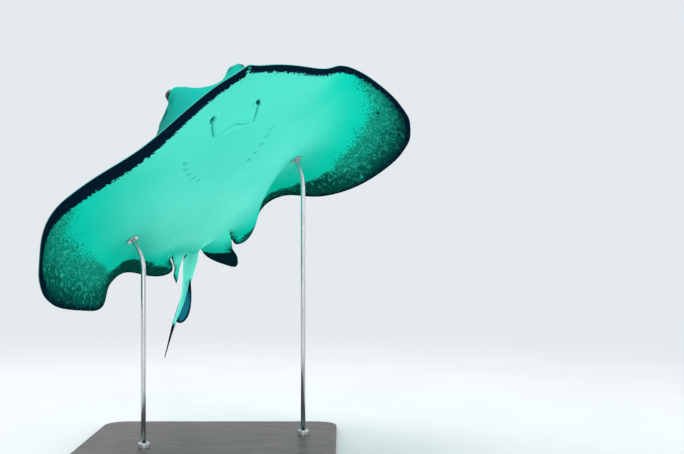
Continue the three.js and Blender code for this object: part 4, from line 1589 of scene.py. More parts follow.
@dataclass(frozen=True)
class SkinFinish(Finish):
    """The skin: mint belly, mottled wing tips, dark margins, olive back and black whip."""

    pale: tuple = paint(116, 251, 227)
    pale_warm: tuple = paint(104, 244, 219)
    pale_front: tuple = paint(86, 228, 203)
    pale_outer: tuple = paint(14, 212, 182)
    mottle_light: tuple = paint(8, 130, 110)
    mottle_dark: tuple = paint(4, 82, 72)
    fleck: tuple = paint(50, 190, 162)
    solid_green: tuple = paint(4, 74, 64)
    margin_black: tuple = paint(4, 24, 36)
    pelvic_black: tuple = paint(1, 37, 45)
    band_black: tuple = paint(6, 26, 42)
    band_fleck: tuple = paint(12, 62, 68)
    back_light: tuple = paint(58, 116, 104)
    back_dark: tuple = paint(36, 84, 80)
    back_spot: tuple = paint(92, 150, 134)
    # Painted highlight: the head's top is painted a brighter teal, as if lit strongly from above.
    head_highlight_teal: tuple = paint(28, 172, 158)
    lip: tuple = paint(80, 196, 186)
    # Painted shade: pit, deep and crease are the colours laid in pits, in the deepest hollows and along
    # grooves.
    pit: tuple = paint(5, 78, 72)
    deep: tuple = paint(3, 24, 30)
    crease_shade: tuple = paint(20, 152, 130)
    # Painted highlight: the paler colour laid along the tail's flanks stands for light catching them.
    tail_flank_highlight: tuple = paint(134, 246, 230)
    whip: tuple = paint(6, 18, 34)
    fold_pale: tuple = paint(24, 112, 132)
    whip_start: float = 1.5
    fan_centre: tuple = (0.02, 0.42)
    fan_scale: tuple = (30.0, 3.0)

    def material(self) -> Material:
        """The skin's material, which follows the attributes drawing, zones and relief."""
        coat = Coat("ray_skin")
        place, zones, relief = (coat.graph.attribute(name) for name in ("drawing", "zones", "relief"))
        _, chord, sheet = place.split()
        level = sheet - chord.step(0.79, 0.87, 0.0, 1.2)
        colour = level.step(-0.75, -0.15).blend(self.belly(place, zones), self.back(place, zones))
        colour = self.tail(colour, place, relief)
        # Painted shade: grooves and the rims of pits darken towards the crease colour, pits towards the pit
        # colour, and the deepest hollows of the eyes and spiracles towards near black.
        shade, _, crease_shade = relief.split()
        soft = crease_shade.step(0.05, 0.8) | shade.step(0.02, 0.45)
        colour = (soft * 0.8).blend(colour, self.crease_shade)
        colour = shade.step(0.35, 0.8).blend(colour, self.pit)
        colour = shade.step(0.78, 0.95).blend(colour, self.deep)
        return coat.dressed(
            Base_Color=colour, Roughness=place.noise(26.0, 3.0).step(0.3, 0.7, 0.48, 0.6),
            Normal=self.normal(place, zones), Specular_IOR_Level=0.0,
        )

    def belly(self, place: Wire, zones: Wire) -> Wire:
        """Mixes the belly's colour.

        Args:
            place: The attribute drawing.
            zones: The attribute zones.

        Returns:
            The colour.
        """
        x, chord, _ = place.split()
        band, mottle, edge = zones.split()
        colour = place.noise(7.0, 4.0).step(0.35, 0.68).blend(self.pale, self.pale_warm)
        colour = chord.step(0.62, 0.22).blend(colour, self.pale_front)
        outward_share = mottle.scatter(place.noise(9.0), 0.06).step(-0.24, -0.01)
        colour = outward_share.blend(colour, self.pale_outer)
        torn = chord.step(0.62, 0.42).step(0.0, 1.0, 0.022, 0.085)
        mask = place.effect(Effect.RAGGED_EDGE, value=mottle.scatter(place.noise(14.0), 0.06),
                            scale=190.0, amount=torn, softness=0.007, detail=2.0)
        colour = mask.blend(colour, self.mottled(place, mottle))
        tip = chord.step(0.3, 0.4) * chord.step(0.6, 0.5)
        rim = place.effect(Effect.RAGGED_EDGE, value=tip.step(0.0, 1.0, 0.008, 0.02) - edge,
                           scale=80.0, amount=0.018, softness=tip.step(0.0, 1.0, 0.007, 0.024))
        edged = mottle.step(-0.03, 0.02) | chord.step(0.76, 0.79)
        colour = (rim * edged).blend(colour, self.margin_black)
        fin = (abs(x) - chord.step(0.78, 0.86, 0.088, 0.112)).step(0.002, -0.002) * chord.step(0.78, 0.8)
        colour = (fin * mask).blend(colour, self.pelvic_black)
        streaks = place.effect(Effect.WORM_FLECKS, scale=170.0, width=0.04, cover=0.25)
        dark_band = place.effect(Effect.RAGGED_EDGE, value=band, scale=130.0, amount=0.016,
                                 softness=0.0018, detail=3.0)
        return dark_band.blend(colour, (streaks * 0.6).blend(self.band_black, self.band_fleck))

    def mottled(self, place: Wire, mottle: Wire) -> Wire:
        """Mixes the dark, flecked and dotted outer part of the wings.

        Args:
            place: The attribute drawing.
            mottle: Distance into the mottling.

        Returns:
            The colour.
        """
        x, chord, _ = place.split()
        behind = chord - x.step(0.0, 0.1, 0.0, 0.06)
        depth = mottle + behind.step(0.5, 0.66, 0.0, 0.1)
        cloud = place.noise(34.0, 4.0, 0.62)
        darker = depth.step(0.0, 0.12).scatter(cloud, 1.2).step(0.1, 0.95)
        colour = darker.blend(self.mottle_light, self.mottle_dark)
        rear = behind.step(0.5, 0.62).scatter(cloud, 1.0).step(0.35, 0.9)
        colour = rear.blend(colour, self.solid_green)
        for scale, strength in ((100.0, 0.7), (200.0, 0.6)):
            flecks = place.effect(Effect.WORM_FLECKS, scale=scale, width=0.04,
                                  cover=depth.step(0.18, 0.0, 0.18, 0.75))
            colour = (flecks * strength).blend(colour, self.fleck)
        dots = x.joined(chord).effect(Effect.ROUND_SPOTS, scale=38.0, size=0.15, share=0.36)
        return (dots * 0.85).blend(colour, self.margin_black)

    def back(self, place: Wire, zones: Wire) -> Wire:
        """Mixes the back's colour.

        Args:
            place, zones: The attributes drawing and zones.

        Returns:
            The colour.
        """
        x, chord, _ = place.split()
        edge = zones.split()[2]
        cloud = place.noise(8.0, 6.0, 0.66)
        colour = cloud.step(0.34, 0.68).blend(self.back_light, self.back_dark)
        flecks = place.effect(Effect.WORM_FLECKS, scale=120.0, width=0.05, cover=0.22)
        colour = (flecks * 0.18).blend(colour, self.back_spot)
        spots = x.joined(chord).effect(Effect.ROUND_SPOTS, scale=34.0, size=0.16, share=0.3)
        colour = (spots * 0.45).blend(colour, self.back_dark)
        # Painted highlight: the top of the head turns to the brighter teal, as if lit strongly from above.
        head = (chord.step(0.42, 0.08) * abs(x).step(0.3, 0.04)).scatter(cloud, 0.9)
        colour = head.step(0.0, 0.95).blend(colour, self.head_highlight_teal)
        rim = edge.step(0.016, 0.003) * chord.step(0.33, 0.24)
        return (rim * 0.8).blend(colour, self.lip)

    def tail(self, colour: Wire, place: Wire, relief: Wire) -> Wire:
        """Adds the tail: a painted highlight along its flanks, a black whip, and the fold and keel along it.

        Args:
            colour: The skin's colour so far.
            place: The attribute drawing.
            relief: The attribute relief.

        Returns:
            The colour.
        """
        _, chord, sheet = place.split()
        blade = relief.split()[1]
        whip = place.effect(Effect.RAGGED_EDGE, value=chord - self.whip_start, scale=40.0,
                            amount=0.08, softness=0.03)
        # Painted highlight along both flanks of the tail.
        flank = abs(sheet).step(1.0, 0.7) * chord.step(0.82, 0.9)
        colour = (flank * 0.7).blend(colour, self.tail_flank_highlight)
        colour = whip.blend(colour, self.whip)
        inner = chord.step(1.04, 1.2) * chord.step(1.45, 1.38) * blade.step(0.88, 0.72)
        return blade.step(0.02, 0.12).blend(colour, inner.blend(self.whip, self.fold_pale))

    def normal(self, place: Wire, zones: Wire) -> Wire:
        """Adds fine grain, and faint rays of muscle that fan out over the wings.

        Args:
            place, zones: The attributes drawing and zones.

        Returns:
            The normal.
        """
        x, chord, _ = place.split()
        edge = zones.split()[2]
        grain = place.effect(Effect.FINE_GRAIN, scale=420.0, broad=0.5)
        out, behind = abs(x) - self.fan_centre[0], chord - self.fan_centre[1]
        reach = out.joined(behind).length()
        turn = behind.maths("ARCTAN2", out)
        fanned = (turn * self.fan_scale[0]).joined(reach * self.fan_scale[1]).noise(1.0)
        fan = (fanned - 0.5) * (reach.step(0.12, 0.24) * edge.step(0.01, 0.06))
        return (fan + grain).bump(0.0009, 0.6)


@dataclass(frozen=True)
class EyeFinish(Finish):
    """A glossy eye: dark rim, bronze iris and a black pupil under a drooping flap."""

    rim: tuple = paint(8, 26, 30)
    iris: tuple = paint(62, 60, 34)
    iris_dark: tuple = paint(22, 26, 18)
    pupil: tuple = paint(3, 6, 8)
    flap_droop: float = 0.16

    def material(self) -> Material:
        """The eyeball's material, which follows the attribute look: angle off the gaze, turn, rise."""
        coat = Coat("ray_eye")
        off, turn, rise = coat.graph.attribute("look").split()
        streaks = (turn * 5.0).joined(off * 1.5).noise(2.0, 3.0)
        iris = streaks.step(0.3, 0.7).blend(self.iris, self.iris_dark)
        colour = off.step(0.7, 0.78).blend(iris, self.rim)
        pupil = (off + rise.step(0.0, 0.3) * self.flap_droop).step(0.4, 0.36)
        return coat.dressed(Base_Color=pupil.blend(colour, self.pupil), Roughness=0.12,
                            Coat_Weight=0.35, Coat_Roughness=0.03, Specular_IOR_Level=0.2)


@dataclass(frozen=True)
class StingFinish(Finish):
    """Ivory bone that darkens towards its root."""

    bone: tuple = paint(204, 214, 190)
    stain: tuple = paint(112, 128, 104)

    def material(self) -> Material:
        """The sting's material."""
        coat = Coat("sting_bone")
        along, across, _ = coat.graph.attribute("drawing").split()
        streaks = (along * 3.0).joined(across * 8.0).noise(4.0, 4.0)
        share = along.step(0.35, 0.0) + (streaks - 0.5)
        return coat.dressed(Base_Color=share.step(0.0, 1.0).blend(self.bone, self.stain),
                            Roughness=0.38, Normal=streaks.bump(0.0003, 0.7))


@dataclass(frozen=True)
class ThornFinish(Finish):
    """Dull horn, paler at its tips."""

    tip: tuple = paint(176, 206, 186)
    root: tuple = paint(52, 104, 96)

    def material(self) -> Material:
        """The thorns' material, which follows the attribute drawing: share of height, place."""
        coat = Coat("thorn_horn")
        up, along, _ = coat.graph.attribute("drawing").split()
        share = up.scatter(along.joined(up).noise(90.0), 1.0)
        return coat.dressed(Base_Color=share.step(0.1, 0.9).blend(self.root, self.tip), Roughness=0.42)


# --- making meshes


def points_of(mesh: Mesh) -> Array:
    """Reads a mesh's points, one row each."""
    flat = np.empty(3 * len(mesh.vertices), np.float32)
    mesh.vertices.foreach_get("co", flat)
    return flat.reshape(-1, 3).astype(float)


def set_points(mesh: Mesh, points: Array) -> None:
    """Moves a mesh's points."""
    mesh.vertices.foreach_set("co", points.astype(np.float32).ravel())
    mesh.update()


def carry(mesh: Mesh, name: str, values: Array) -> None:
    """Stores a vector at each point of a mesh."""
    layer = mesh.attributes.new(name, "FLOAT_VECTOR", "POINT")
    layer.data.foreach_set("vector", values.astype(np.float32).ravel())


def worked_mesh(work: bmesh.types.BMesh, name: str) -> Mesh:
    """Turns a finished work mesh into a mesh of that name."""
    mesh = bpy.data.meshes.new(name)
    work.to_mesh(mesh)
    work.free()
    return mesh


def circle(sides: int) -> Array:
    """The turns of a circle's corners."""
    return np.linspace(0, 2 * math.pi, sides, endpoint=False)


def rounding(steps: int) -> list[tuple[float, float]]:
    """How far a quarter-round edge has still to go inward and upward, from none and all of it."""
    turns = [math.pi / 2 * step / steps for step in range(steps + 1)]
    return [(1 - math.cos(turn), 1 - math.sin(turn)) for turn in turns]


def loft(rings: Array, name: str) -> Mesh:
    """Draws a closed tube through rings of points, with flat ends.

    Args:
        rings: Rings by corners of points.
        name: The mesh's name.

    Returns:
        The mesh.
    """
    count, sides = rings.shape[:2]
    faces = []
    for k in range(count - 1):
        for j in range(sides):
            after = (j + 1) % sides
            faces.append((k * sides + j, k * sides + after, (k + 1) * sides + after, (k + 1) * sides + j))
    faces += [tuple(range(sides)), tuple(range((count - 1) * sides, count * sides))]
    mesh = bpy.data.meshes.new(name)
    mesh.from_pydata(rings.reshape(-1, 3).tolist(), [], faces)
    return mesh


def add_piece(mesh: Mesh, slot: str, material: Material, *replaced: str, flat_ends: bool = False) -> Piece:
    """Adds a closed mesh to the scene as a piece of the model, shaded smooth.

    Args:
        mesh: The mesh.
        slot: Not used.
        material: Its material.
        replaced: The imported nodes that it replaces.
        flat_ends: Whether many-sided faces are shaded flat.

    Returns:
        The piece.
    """
    work = bmesh.new()
    work.from_mesh(mesh)
    bmesh.ops.recalc_face_normals(work, faces=work.faces)
    work.to_mesh(mesh)
    work.free()
    for face in mesh.polygons:
        face.use_smooth = not (flat_ends and len(face.vertices) > 4)
    mesh.update()
    piece = bpy.data.objects.new(mesh.name, mesh)
    bpy.context.scene.collection.objects.link(piece)
    mesh.materials.append(material)
    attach(piece, "root")
    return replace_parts(piece, *replaced) if replaced else piece


class Assembly:
    """A part of the model that is built by itself."""

    def build(self) -> list[Piece]:
        """Builds it.

        Returns:
            Its pieces, in place of the plain ones.
        """
        raise NotImplementedError


# --- the skin piece


@dataclass(frozen=True)
class SkinCharts:
    """Where the flattened skin lies on its square map.

    The back and the belly are two charts. The tail behind the split and its blades are
    strips beside them, cut once more so that they fit.
    """

    scale: float = 0.648
    left: float = 0.006
    top: float = 0.994
    split: float = 0.915
    belly_shift: tuple = (0.513, 0.605)
    strip_left: float = 1.1
    strip_gap: float = 0.006
    strip_top: float = 0.004
    strip_cut: float = 1.46
    tail_halves: tuple = (0.019, 0.0055)

    def lay(self, corner: Array, middle: Array) -> Array:
        """Places the corners of faces on the map.

        Args:
            corner, middle: Each corner's net point, and that of the middle of its face.

        Returns:
            One (u, v) row for each corner, from 0 to 1.
        """
        x, chord, layer = corner[:, 0], -corner[:, 1], corner[:, 2]
        back = middle[:, 2] > 0
        across = 0.5 + x + np.where(back, 0.0, self.belly_shift[0])
        down = chord + np.where(back, 0.0, self.belly_shift[1])
        tail = -middle[:, 1] > self.split
        late = -middle[:, 1] > self.strip_cut
        blade = np.abs(middle[:, 2]) > LAYER * 1.0001
        start = self.strip_left
        for is_late, half in enumerate(self.tail_halves):
            for is_back in (True, False):
                mine = tail & ~blade & (late == is_late) & (back == is_back)
                across = np.where(mine, start + half + x, across)
                start += 2 * half + self.strip_gap
        for is_late in (False, True):
            for is_back, depth in ((True, KEEL.depth), (False, FOLD.depth)):
                for side in (-1, 1):
                    mine = blade & (late == is_late) & (back == is_back) & (middle[:, 0] * side > 0)
                    across = np.where(mine, start + np.abs(layer) - LAYER, across)
                    start += depth + self.strip_gap
        begin = np.where(late, self.strip_cut, self.split)
        down = np.where(tail | blade, chord - begin + self.strip_top, down)
        return np.stack([self.left + self.scale * across, self.top - self.scale * down], axis=-1)


FLESH = (
    "head", "trunk", "rump", "pectoral_fin_left", "pectoral_fin_right", "pelvic_fin_left",
    "pelvic_fin_right", "tail_base", "tail_middle", "tail_whip", "tail_fold", "tail_keel",
)


@dataclass(frozen=True)
class Skin(Assembly):
    """The one skin over all the flesh, with finer mesh where the small features are."""

    net: SkinNet = SkinNet()
    charts: SkinCharts = SkinCharts()
    hollows: tuple = (Spiracle(), EyeSocket())
    finish: SkinFinish = SkinFinish()
    levels: int = 2
    windows: tuple = (
        Region(1, (0.056, 0.124), (0.172, 0.276)),
        Region(-1, (0.0, 0.078), (0.136, 0.22)),
        Region(-1, (0.05, 0.128), (0.254, 0.37)),
    )
    head_inner: float = 0.03
    head_end: float = 0.35

    def build(self) -> list[Piece]:
        """The skin, posed and in place of the flesh."""
        mesh = self.net.build().mesh("ray_skin")
        self.refine(mesh)
        flat = points_of(mesh)
        height, shade = net_heights(flat)
        body, hollow = self.dig(flat, net_to_body(flat, height))
        # The attribute relief carries the painted shade of pits and hollows, the blades' share, and the
        # painted shade of creases.
        relief = np.stack([np.maximum(shade[:, 0], hollow), self.blades(flat), shade[:, 1]], axis=-1)
        drawing = np.stack([flat[:, 0], -flat[:, 1], np.clip(flat[:, 2] / LAYER, -1, 1)], axis=-1)
        self.map(mesh, flat)
        set_points(mesh, STANCE.placed(body))
        for name, values in (("drawing", drawing), ("zones", lay_marks(flat)), ("relief", relief)):
            carry(mesh, name, values)
        return [add_piece(mesh, "skin", self.finish.material(), *FLESH)]

    def refine(self, mesh: Mesh) -> None:
        """Splits the faces in the windows into smaller ones.

        Args:
            mesh: The flat net.
        """
        work = bmesh.new()
        work.from_mesh(mesh)
        for _ in range(self.levels):
            edges = set()
            for face in work.faces:
                x, down, layer = face.calc_center_median()
                if any(window.holds(x, -down, layer) for window in self.windows):
                    edges.update(face.edges)
            bmesh.ops.subdivide_edges(work, edges=list(edges), cuts=1, use_grid_fill=True)
        work.to_mesh(mesh)
        work.free()

    def dig(self, flat: Array, body: Array) -> Pair:
        """Shapes the eye sockets and spiracles.

        Args:
            flat: The net's points.
            body: The same in the body's frame.

        Returns:
            The moved points, and how deep in shade they are.
        """
        shade = np.zeros(len(flat))
        on_head = (flat[:, 2] >= LAYER * 0.999) & (flat[:, 1] > -self.head_end)
        for wing in WINGS:
            mine = on_head & (flat[:, 0] * wing.side > self.head_inner)
            for hollow in self.hollows:
                body[mine], dark = hollow.work(body[mine], wing)
                shade[mine] = np.maximum(shade[mine], dark)
        return body, shade

    @staticmethod
    def blades(flat: Array) -> Array:
        """Measures the tail's fold and keel.

        Args:
            flat: The net's points.

        Returns:
            How far out on a blade each lies, from 0 to 1. The low keel fills up at a third.
        """
        past = np.maximum(np.abs(flat[:, 2]) - LAYER, 0)
        fold = past / np.maximum(FOLD.reach(-flat[:, 1]), BLADE_STUB)
        keel = 3 * past / np.maximum(KEEL.reach(-flat[:, 1]), BLADE_STUB)
        return np.clip(np.where(flat[:, 2] < 0, fold, keel), 0, 1)

    def map(self, mesh: Mesh, flat: Array) -> None:
        """Adds the flattened skin as the mesh's map.

        Args:
            mesh: The skin's mesh.
            flat: The net's points.
        """
        corner = np.empty(len(mesh.loops), np.int32)
        mesh.loops.foreach_get("vertex_index", corner)
        sizes = np.empty(len(mesh.polygons), np.int32)
        mesh.polygons.foreach_get("loop_total", sizes)
        starts = np.concatenate([[0], np.cumsum(sizes)[:-1]])
        middle = np.add.reduceat(flat[corner], starts) / sizes[:, None]
        places = self.charts.lay(flat[corner], np.repeat(middle, sizes, axis=0))
        layer = mesh.uv_layers.new(name="OFBake")
        layer.data.foreach_set("uv", places.astype(np.float32).ravel())


# --- eyes, sting and thorns


@dataclass(frozen=True)
class Eyes(Assembly):
    """The two eyeballs, each a ball whose pole looks out along the gaze."""

    rings: int = 28
    turns: int = 48
    gaze: tuple = EyeSocket.gaze
    finish: EyeFinish = EyeFinish()

    def build(self) -> list[Piece]:
        """Both eyes, in place of the plain ones."""
        material = self.finish.material()
        return [self.eye(wing, material) for wing in WINGS]

    def eye(self, wing: Wing, material: Material) -> Piece:
        """Builds one eye.

        Args:
            wing: The side that it is on.
            material: Its material.

        Returns:
            The eye.
        """
        node = f"eye_{wing.name}"
        low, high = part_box(node)
        radius = (high.z - low.z) / 2
        turned = STANCE.turned()
        gaze = turned @ unit(np.array(self.gaze) * (wing.side, 1, 1))
        up = turned @ np.array([0.0, 0.0, 1.0])
        up = unit(up - gaze * (up @ gaze))
        work = bmesh.new()
        bmesh.ops.create_uvsphere(work, u_segments=self.turns, v_segments=self.rings, radius=1.0)
        mesh = worked_mesh(work, f"eyeball_{wing.name}")
        ball = points_of(mesh)
        off = np.arccos(np.clip(ball[:, 2], -1, 1))
        carry(mesh, "look", np.stack([off, np.arctan2(ball[:, 1], ball[:, 0]), ball[:, 1]], axis=-1))
        set_points(mesh, box_centre(node) + radius * ball @ np.array([np.cross(up, gaze), up, gaze]))
        return add_piece(mesh, "eye", material, node)


@dataclass(frozen=True)
class Sting(Assembly):
    """The serrated sting that lies over the tail's back."""

    start: float = 1.09
    length: float = 0.085
    half_width: float = 0.0034
    thick: float = 0.0022
    rise: float = 0.01
    rows: int = 120
    teeth: int = 24
    bite: float = 0.3
    plain_root: tuple = (0.06, 0.14)
    plain_tip: tuple = (1.0, 0.9)
    section: tuple = ((-1, 0.35), (-0.7, 0.75), (-0.35, 1.0), (0, 0.82), (0.35, 1.0), (0.7, 0.75),
                      (1, 0.35), (0.6, 0.05), (0, -0.15), (-0.6, 0.05))
    finish: StingFinish = StingFinish()

    def build(self) -> list[Piece]:
        """The sting, in place of the plain one."""
        side, up = np.array(self.section).T
        foot = float(back_rise(self.start))
        rings, marks = [], []
        for u in np.linspace(0, 1, self.rows):
            tooth = (u * self.teeth) % 1.0
            bite = 1 + self.bite * tooth * smooth(*self.plain_root, u) * smooth(*self.plain_tip, u)
            half = 0.78 * self.half_width * max(1 - u**2.2, 0.05)
            thick = self.thick * max(1 - u * u, 0.12)
            across = side * half * np.where(np.abs(side) > 0.9, bite, 1.0)
            chord = np.full(len(side), self.start + self.length * u)
            rings.append(TAIL.point(chord, across, foot + self.rise * u + up * thick))
            marks.append(np.stack([np.full(len(side), u), side, up], axis=-1))
        mesh = loft(STANCE.placed(np.array(rings)), "serrated_sting")
        carry(mesh, "drawing", np.array(marks))
        return [add_piece(mesh, "sting", self.finish.material(), "tail_sting")]


@dataclass(frozen=True)
class Thorns(Assembly):
    """The row of small thorns down the middle of the back, with two short rows at the shoulders."""

    start: float = 0.27
    end: float = 1.06
    count: int = 58
    jitter: tuple = (0.0006, 0.0015)
    shoulder_span: float = 0.04
    shoulder_start: float = 0.395
    shoulder_step: float = 0.016
    height: float = 0.0042
    radius: float = 0.0019
    stretch: float = 1.35
    lean: float = 0.003
    levels: tuple = ((-0.15, 1.25), (0.0, 1.0), (0.3, 0.62), (0.65, 0.32), (0.9, 0.12))
    sides: int = 10
    seed: int = 5
    finish: ThornFinish = ThornFinish()

    def places(self) -> list[tuple[float, float, float]]:
        """Lays out the rows.

        Returns:
            Each thorn's span, chord and size.
        """
        chance = np.random.default_rng(self.seed)
        spine = []
        for k in range(self.count):
            chord = self.start + (self.end - self.start) * k / (self.count - 1)
            size = 0.55 + 0.45 * float(bump(0.45, 0.22, chord)) + 0.12 * chance.uniform(-1, 1)
            across, along = (reach * chance.uniform(-1, 1) for reach in self.jitter)
            spine.append((across, chord + along, size))
        shoulders = [
            (side * self.shoulder_span, self.shoulder_start + self.shoulder_step * k, 0.62 - 0.06 * k)
            for side in (-1, 1) for k in range(4)
        ]
        return spine + shoulders

    def build(self) -> list[Piece]:
        """All the thorns as one piece."""
        work = bmesh.new()
        layer = work.verts.layers.float_vector.new("drawing")
        for span, chord, size in self.places():
            self.thorn(work, layer, span, chord, size * DISC_WIDTH)
        return [add_piece(worked_mesh(work, "dorsal_thorns"), "sting", self.finish.material())]

    def thorn(self, work: bmesh.types.BMesh, layer: bmesh.types.BMLayerItem, span: float, chord: float,
              size: float) -> None:
        """Adds one thorn: rings that narrow and lean back, closed by a tip.

        Args:
            work: The work mesh.
            layer: Its attribute drawing.
            span, chord: Where the thorn stands.
            size: The disc width at the scale of the thorn.
        """
        foot = skin_point(span, chord, 1)
        out = (skin_point(span, chord, 1, 0.002) - foot).normalized()
        back = (skin_point(span, chord + 0.004, 1) - foot).normalized()
        side = out.cross(back).normalized()
        rings = []
        for up, wide in (*self.levels, (1.0, 0.0)):
            centre = foot + (out * self.height * up + back * self.lean * max(up, 0) ** 1.5) * size
            ring = []
            for turn in circle(self.sides) if wide else (0.0,):
                arm = side * math.cos(turn) + back * (self.stretch * math.sin(turn))
                vert = work.verts.new(centre + arm * (self.radius * wide * size))
                vert[layer] = (max(up, 0), chord, 0)
                ring.append(vert)
            rings.append(ring)
        *rings, (tip,) = rings
        for k in range(self.sides):
            after = (k + 1) % self.sides
            for lower, upper in zip(rings, rings[1:]):
                work.faces.new((lower[k], lower[after], upper[after], upper[k]))
            work.faces.new((rings[-1][k], rings[-1][after], tip))
        work.faces.new(rings[0])


# --- the stand


@dataclass(frozen=True)
class BoardFinish(Finish):
    """Dark stained oak with a satin varnish."""

    light: tuple = paint(82, 74, 66)
    dark: tuple = paint(44, 40, 38)
    figure_stretch: tuple = (2.2, 26.0, 26.0)
    grain_stretch: tuple = (9.0, 420.0, 420.0)
    ring_count: float = 7.0

    def material(self) -> Material:
        """The board's material."""
        coat = Coat("stained_board")
        place = coat.graph.place()
        figure = place.scaled(*self.figure_stretch).noise(1.0, 3.0, 0.55, 0.8)
        grain = place.scaled(*self.grain_stretch).noise(1.0)
        rings = (figure * self.ring_count).maths("FRACT").step(0.15, 0.85)
        share = rings * 0.7 + (grain - 0.4) * 0.8
        return coat.dressed(
            Base_Color=share.step(0.0, 1.0).blend(self.light, self.dark),
            Roughness=grain.step(0.3, 0.7, 0.36, 0.46), Normal=grain.bump(0.0002, 0.5),
        )


@dataclass(frozen=True)
class SteelFinish(Finish):
    """Brushed stainless steel."""

    light: tuple = paint(206, 208, 210)
    dark: tuple = paint(176, 179, 182)
    brushing: tuple = (1.0, 1.0, 0.06)

    def material(self) -> Material:
        """The steel's material."""
        coat = Coat("brushed_steel")
        place = coat.graph.place().scaled(*self.brushing)
        brushed = place.effect(Effect.FINE_GRAIN, scale=1500.0, broad=0.6)
        return coat.dressed(
            Base_Color=brushed.step(0.3, 0.7).blend(self.light, self.dark), Metallic=1.0,
            Roughness=brushed.step(0.25, 0.75, 0.24, 0.4), Normal=brushed.bump(0.00008, 0.5),
        )


@dataclass(frozen=True)
class Board(Assembly):
    """The base: a flat board with round corners and softened edges."""

    corner: float = 0.06
    bevel: float = 0.0025
    bevel_steps: int = 6
    corner_steps: int = 16
    finish: BoardFinish = BoardFinish()

    def outline(self, low: Vector, high: Vector, inset: float) -> list[tuple[float, float]]:
        """Draws the board's outline.

        Args:
            low, high: The corners of its box.
            inset: How far in from the box the outline runs.

        Returns:
            The outline's points.
        """
        points = []
        radius = self.corner - inset
        corners = ((high.x, high.y), (low.x, high.y), (low.x, low.y), (high.x, low.y))
        for quarter, (x, y) in enumerate(corners):
            for step in range(self.corner_steps + 1):
                turn = math.radians(90 * quarter + 90 * step / self.corner_steps)
                points.append((x - math.copysign(self.corner, x) + radius * math.cos(turn),
                               y - math.copysign(self.corner, y) + radius * math.sin(turn)))
        return points

    def build(self) -> list[Piece]:
        """The board, in place of the plain one."""
        low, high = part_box("stand_base")
        edge = rounding(self.bevel_steps)
        levels = [(self.bevel * up, low.z + self.bevel * out) for out, up in edge]
        levels += [(self.bevel * out, high.z - self.bevel * up) for out, up in edge]
        rings = [[(x, y, z) for x, y in self.outline(low, high, inset)] for inset, z in levels]
        mesh = loft(np.array(rings), "base_board")
        return [add_piece(mesh, "base", self.finish.material(), "stand_base", flat_ends=True)]


@dataclass(frozen=True)
class Seat:
    """Where a rod holds the belly, on the drawing."""

    wing: Wing
    span: float
    chord: float

    def at(self, depth: float) -> Vector:
        """A place under the belly, by its depth below it as a fraction of the disc width."""
        return skin_point(self.wing.side * self.span, self.chord, -1, depth)

    def away(self) -> Vector:
        """The direction away from the belly."""
        return (self.at(0.01) - self.at(0.0)).normalized()


SEATS = (Seat(LEFT, 0.225, 0.52), Seat(RIGHT, 0.22, 0.54))


@dataclass(frozen=True)
class SteelPart(Assembly):
    """A steel part of the stand that there is one of for each seat."""

    steel: Material

    def build(self) -> list[Piece]:
        """Both of them, in place of the plain ones."""
        return [self.part(seat) for seat in SEATS]

    def part(self, seat: Seat) -> Piece:
        """Builds one of them.

        Args:
            seat: The seat that it belongs to.

        Returns:
            The piece.
        """
        raise NotImplementedError


@dataclass(frozen=True)
class Pads(SteelPart):
    """Round steel pads that follow the belly they hold: a cap above and below, and a round edge."""

    radius: float = 0.016
    thick: float = 0.004
    gap: float = 0.0003
    rings: int = 14
    sides: int = 48
    edge_steps: int = 5

    def section(self) -> list[tuple[float, float]]:
        """Draws half the pad's section.

        Returns:
            Its points, by distance out and depth below the belly.
        """
        half = (self.thick - self.gap) / 2
        rim = self.radius - half
        turns = [math.pi * step / self.edge_steps for step in range(1, self.edge_steps)]
        edge = [(rim + half * math.sin(turn), self.gap + half - half * math.cos(turn)) for turn in turns]
        inner = np.linspace(0.04, 1, self.rings)[:-1] * rim
        above = [(out, self.gap) for out in (*inner, rim)]
        return [*above, *edge, *((out, self.thick) for out, _ in reversed(above))]

    def part(self, seat: Seat) -> Piece:
        """One pad."""
        section = self.section()
        side = seat.wing.side
        flat = np.array([
            (side * (seat.span + out * math.cos(turn)), -(seat.chord + out * math.sin(turn)), -LAYER)
            for out, _ in section for turn in circle(self.sides)
        ])
        height, _ = net_heights(flat)
        depth = np.repeat([depth for _, depth in section], self.sides)
        points = STANCE.placed(net_to_body(flat, height - depth))
        mesh = loft(points.reshape(len(section), self.sides, 3), f"belly_pad_{seat.wing.name}")
        return add_piece(mesh, "steel", self.steel, f"stand_pad_{seat.wing.name}")


@dataclass(frozen=True)
class Rods(SteelPart):
    """Steel rods that climb straight up and lean over to meet the belly square on."""

    radius: float = 0.006
    bend: float = 0.045
    top_gap: float = 0.0002
    straight_steps: int = 3
    bend_steps: int = 28
    sides: int = 32

    def line(self, seat: Seat) -> list[Vector]:
        """Draws the middle line of a rod.

        Args:
            seat: The rod's seat.

        Returns:
            The line's points, from its foot up.
        """
        away = seat.away()
        top = seat.at(Pads.thick) + away * self.top_gap
        knee = top + away * self.bend
        shoulder = knee - Vector((0, 0, self.bend))
        foot = Vector((knee.x, knee.y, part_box("stand_base")[1].z))
        points = [foot.lerp(shoulder, k / self.straight_steps) for k in range(self.straight_steps)]
        for u in shares(self.bend_steps):
            points.append(shoulder * (1 - u) ** 2 + knee * (2 * u * (1 - u)) + top * u**2)
        return points

    def part(self, seat: Seat) -> Piece:
        """One rod, a round tube along its line."""
        points = self.line(seat)
        arm = Vector((1, 0, 0))
        rings = []
        for point, before, after in zip(points, [points[0], *points], [*points[1:], points[-1]]):
            ahead = (after - before).normalized()
            arm = (arm - ahead * arm.dot(ahead)).normalized()
            other = ahead.cross(arm)
            rings.append([point + (arm * math.cos(turn) + other * math.sin(turn)) * self.radius
                          for turn in circle(self.sides)])
        mesh = loft(np.array(rings), f"rod_{seat.wing.name}")
        return add_piece(mesh, "steel", self.steel, f"stand_rod_{seat.wing.name}", flat_ends=True)


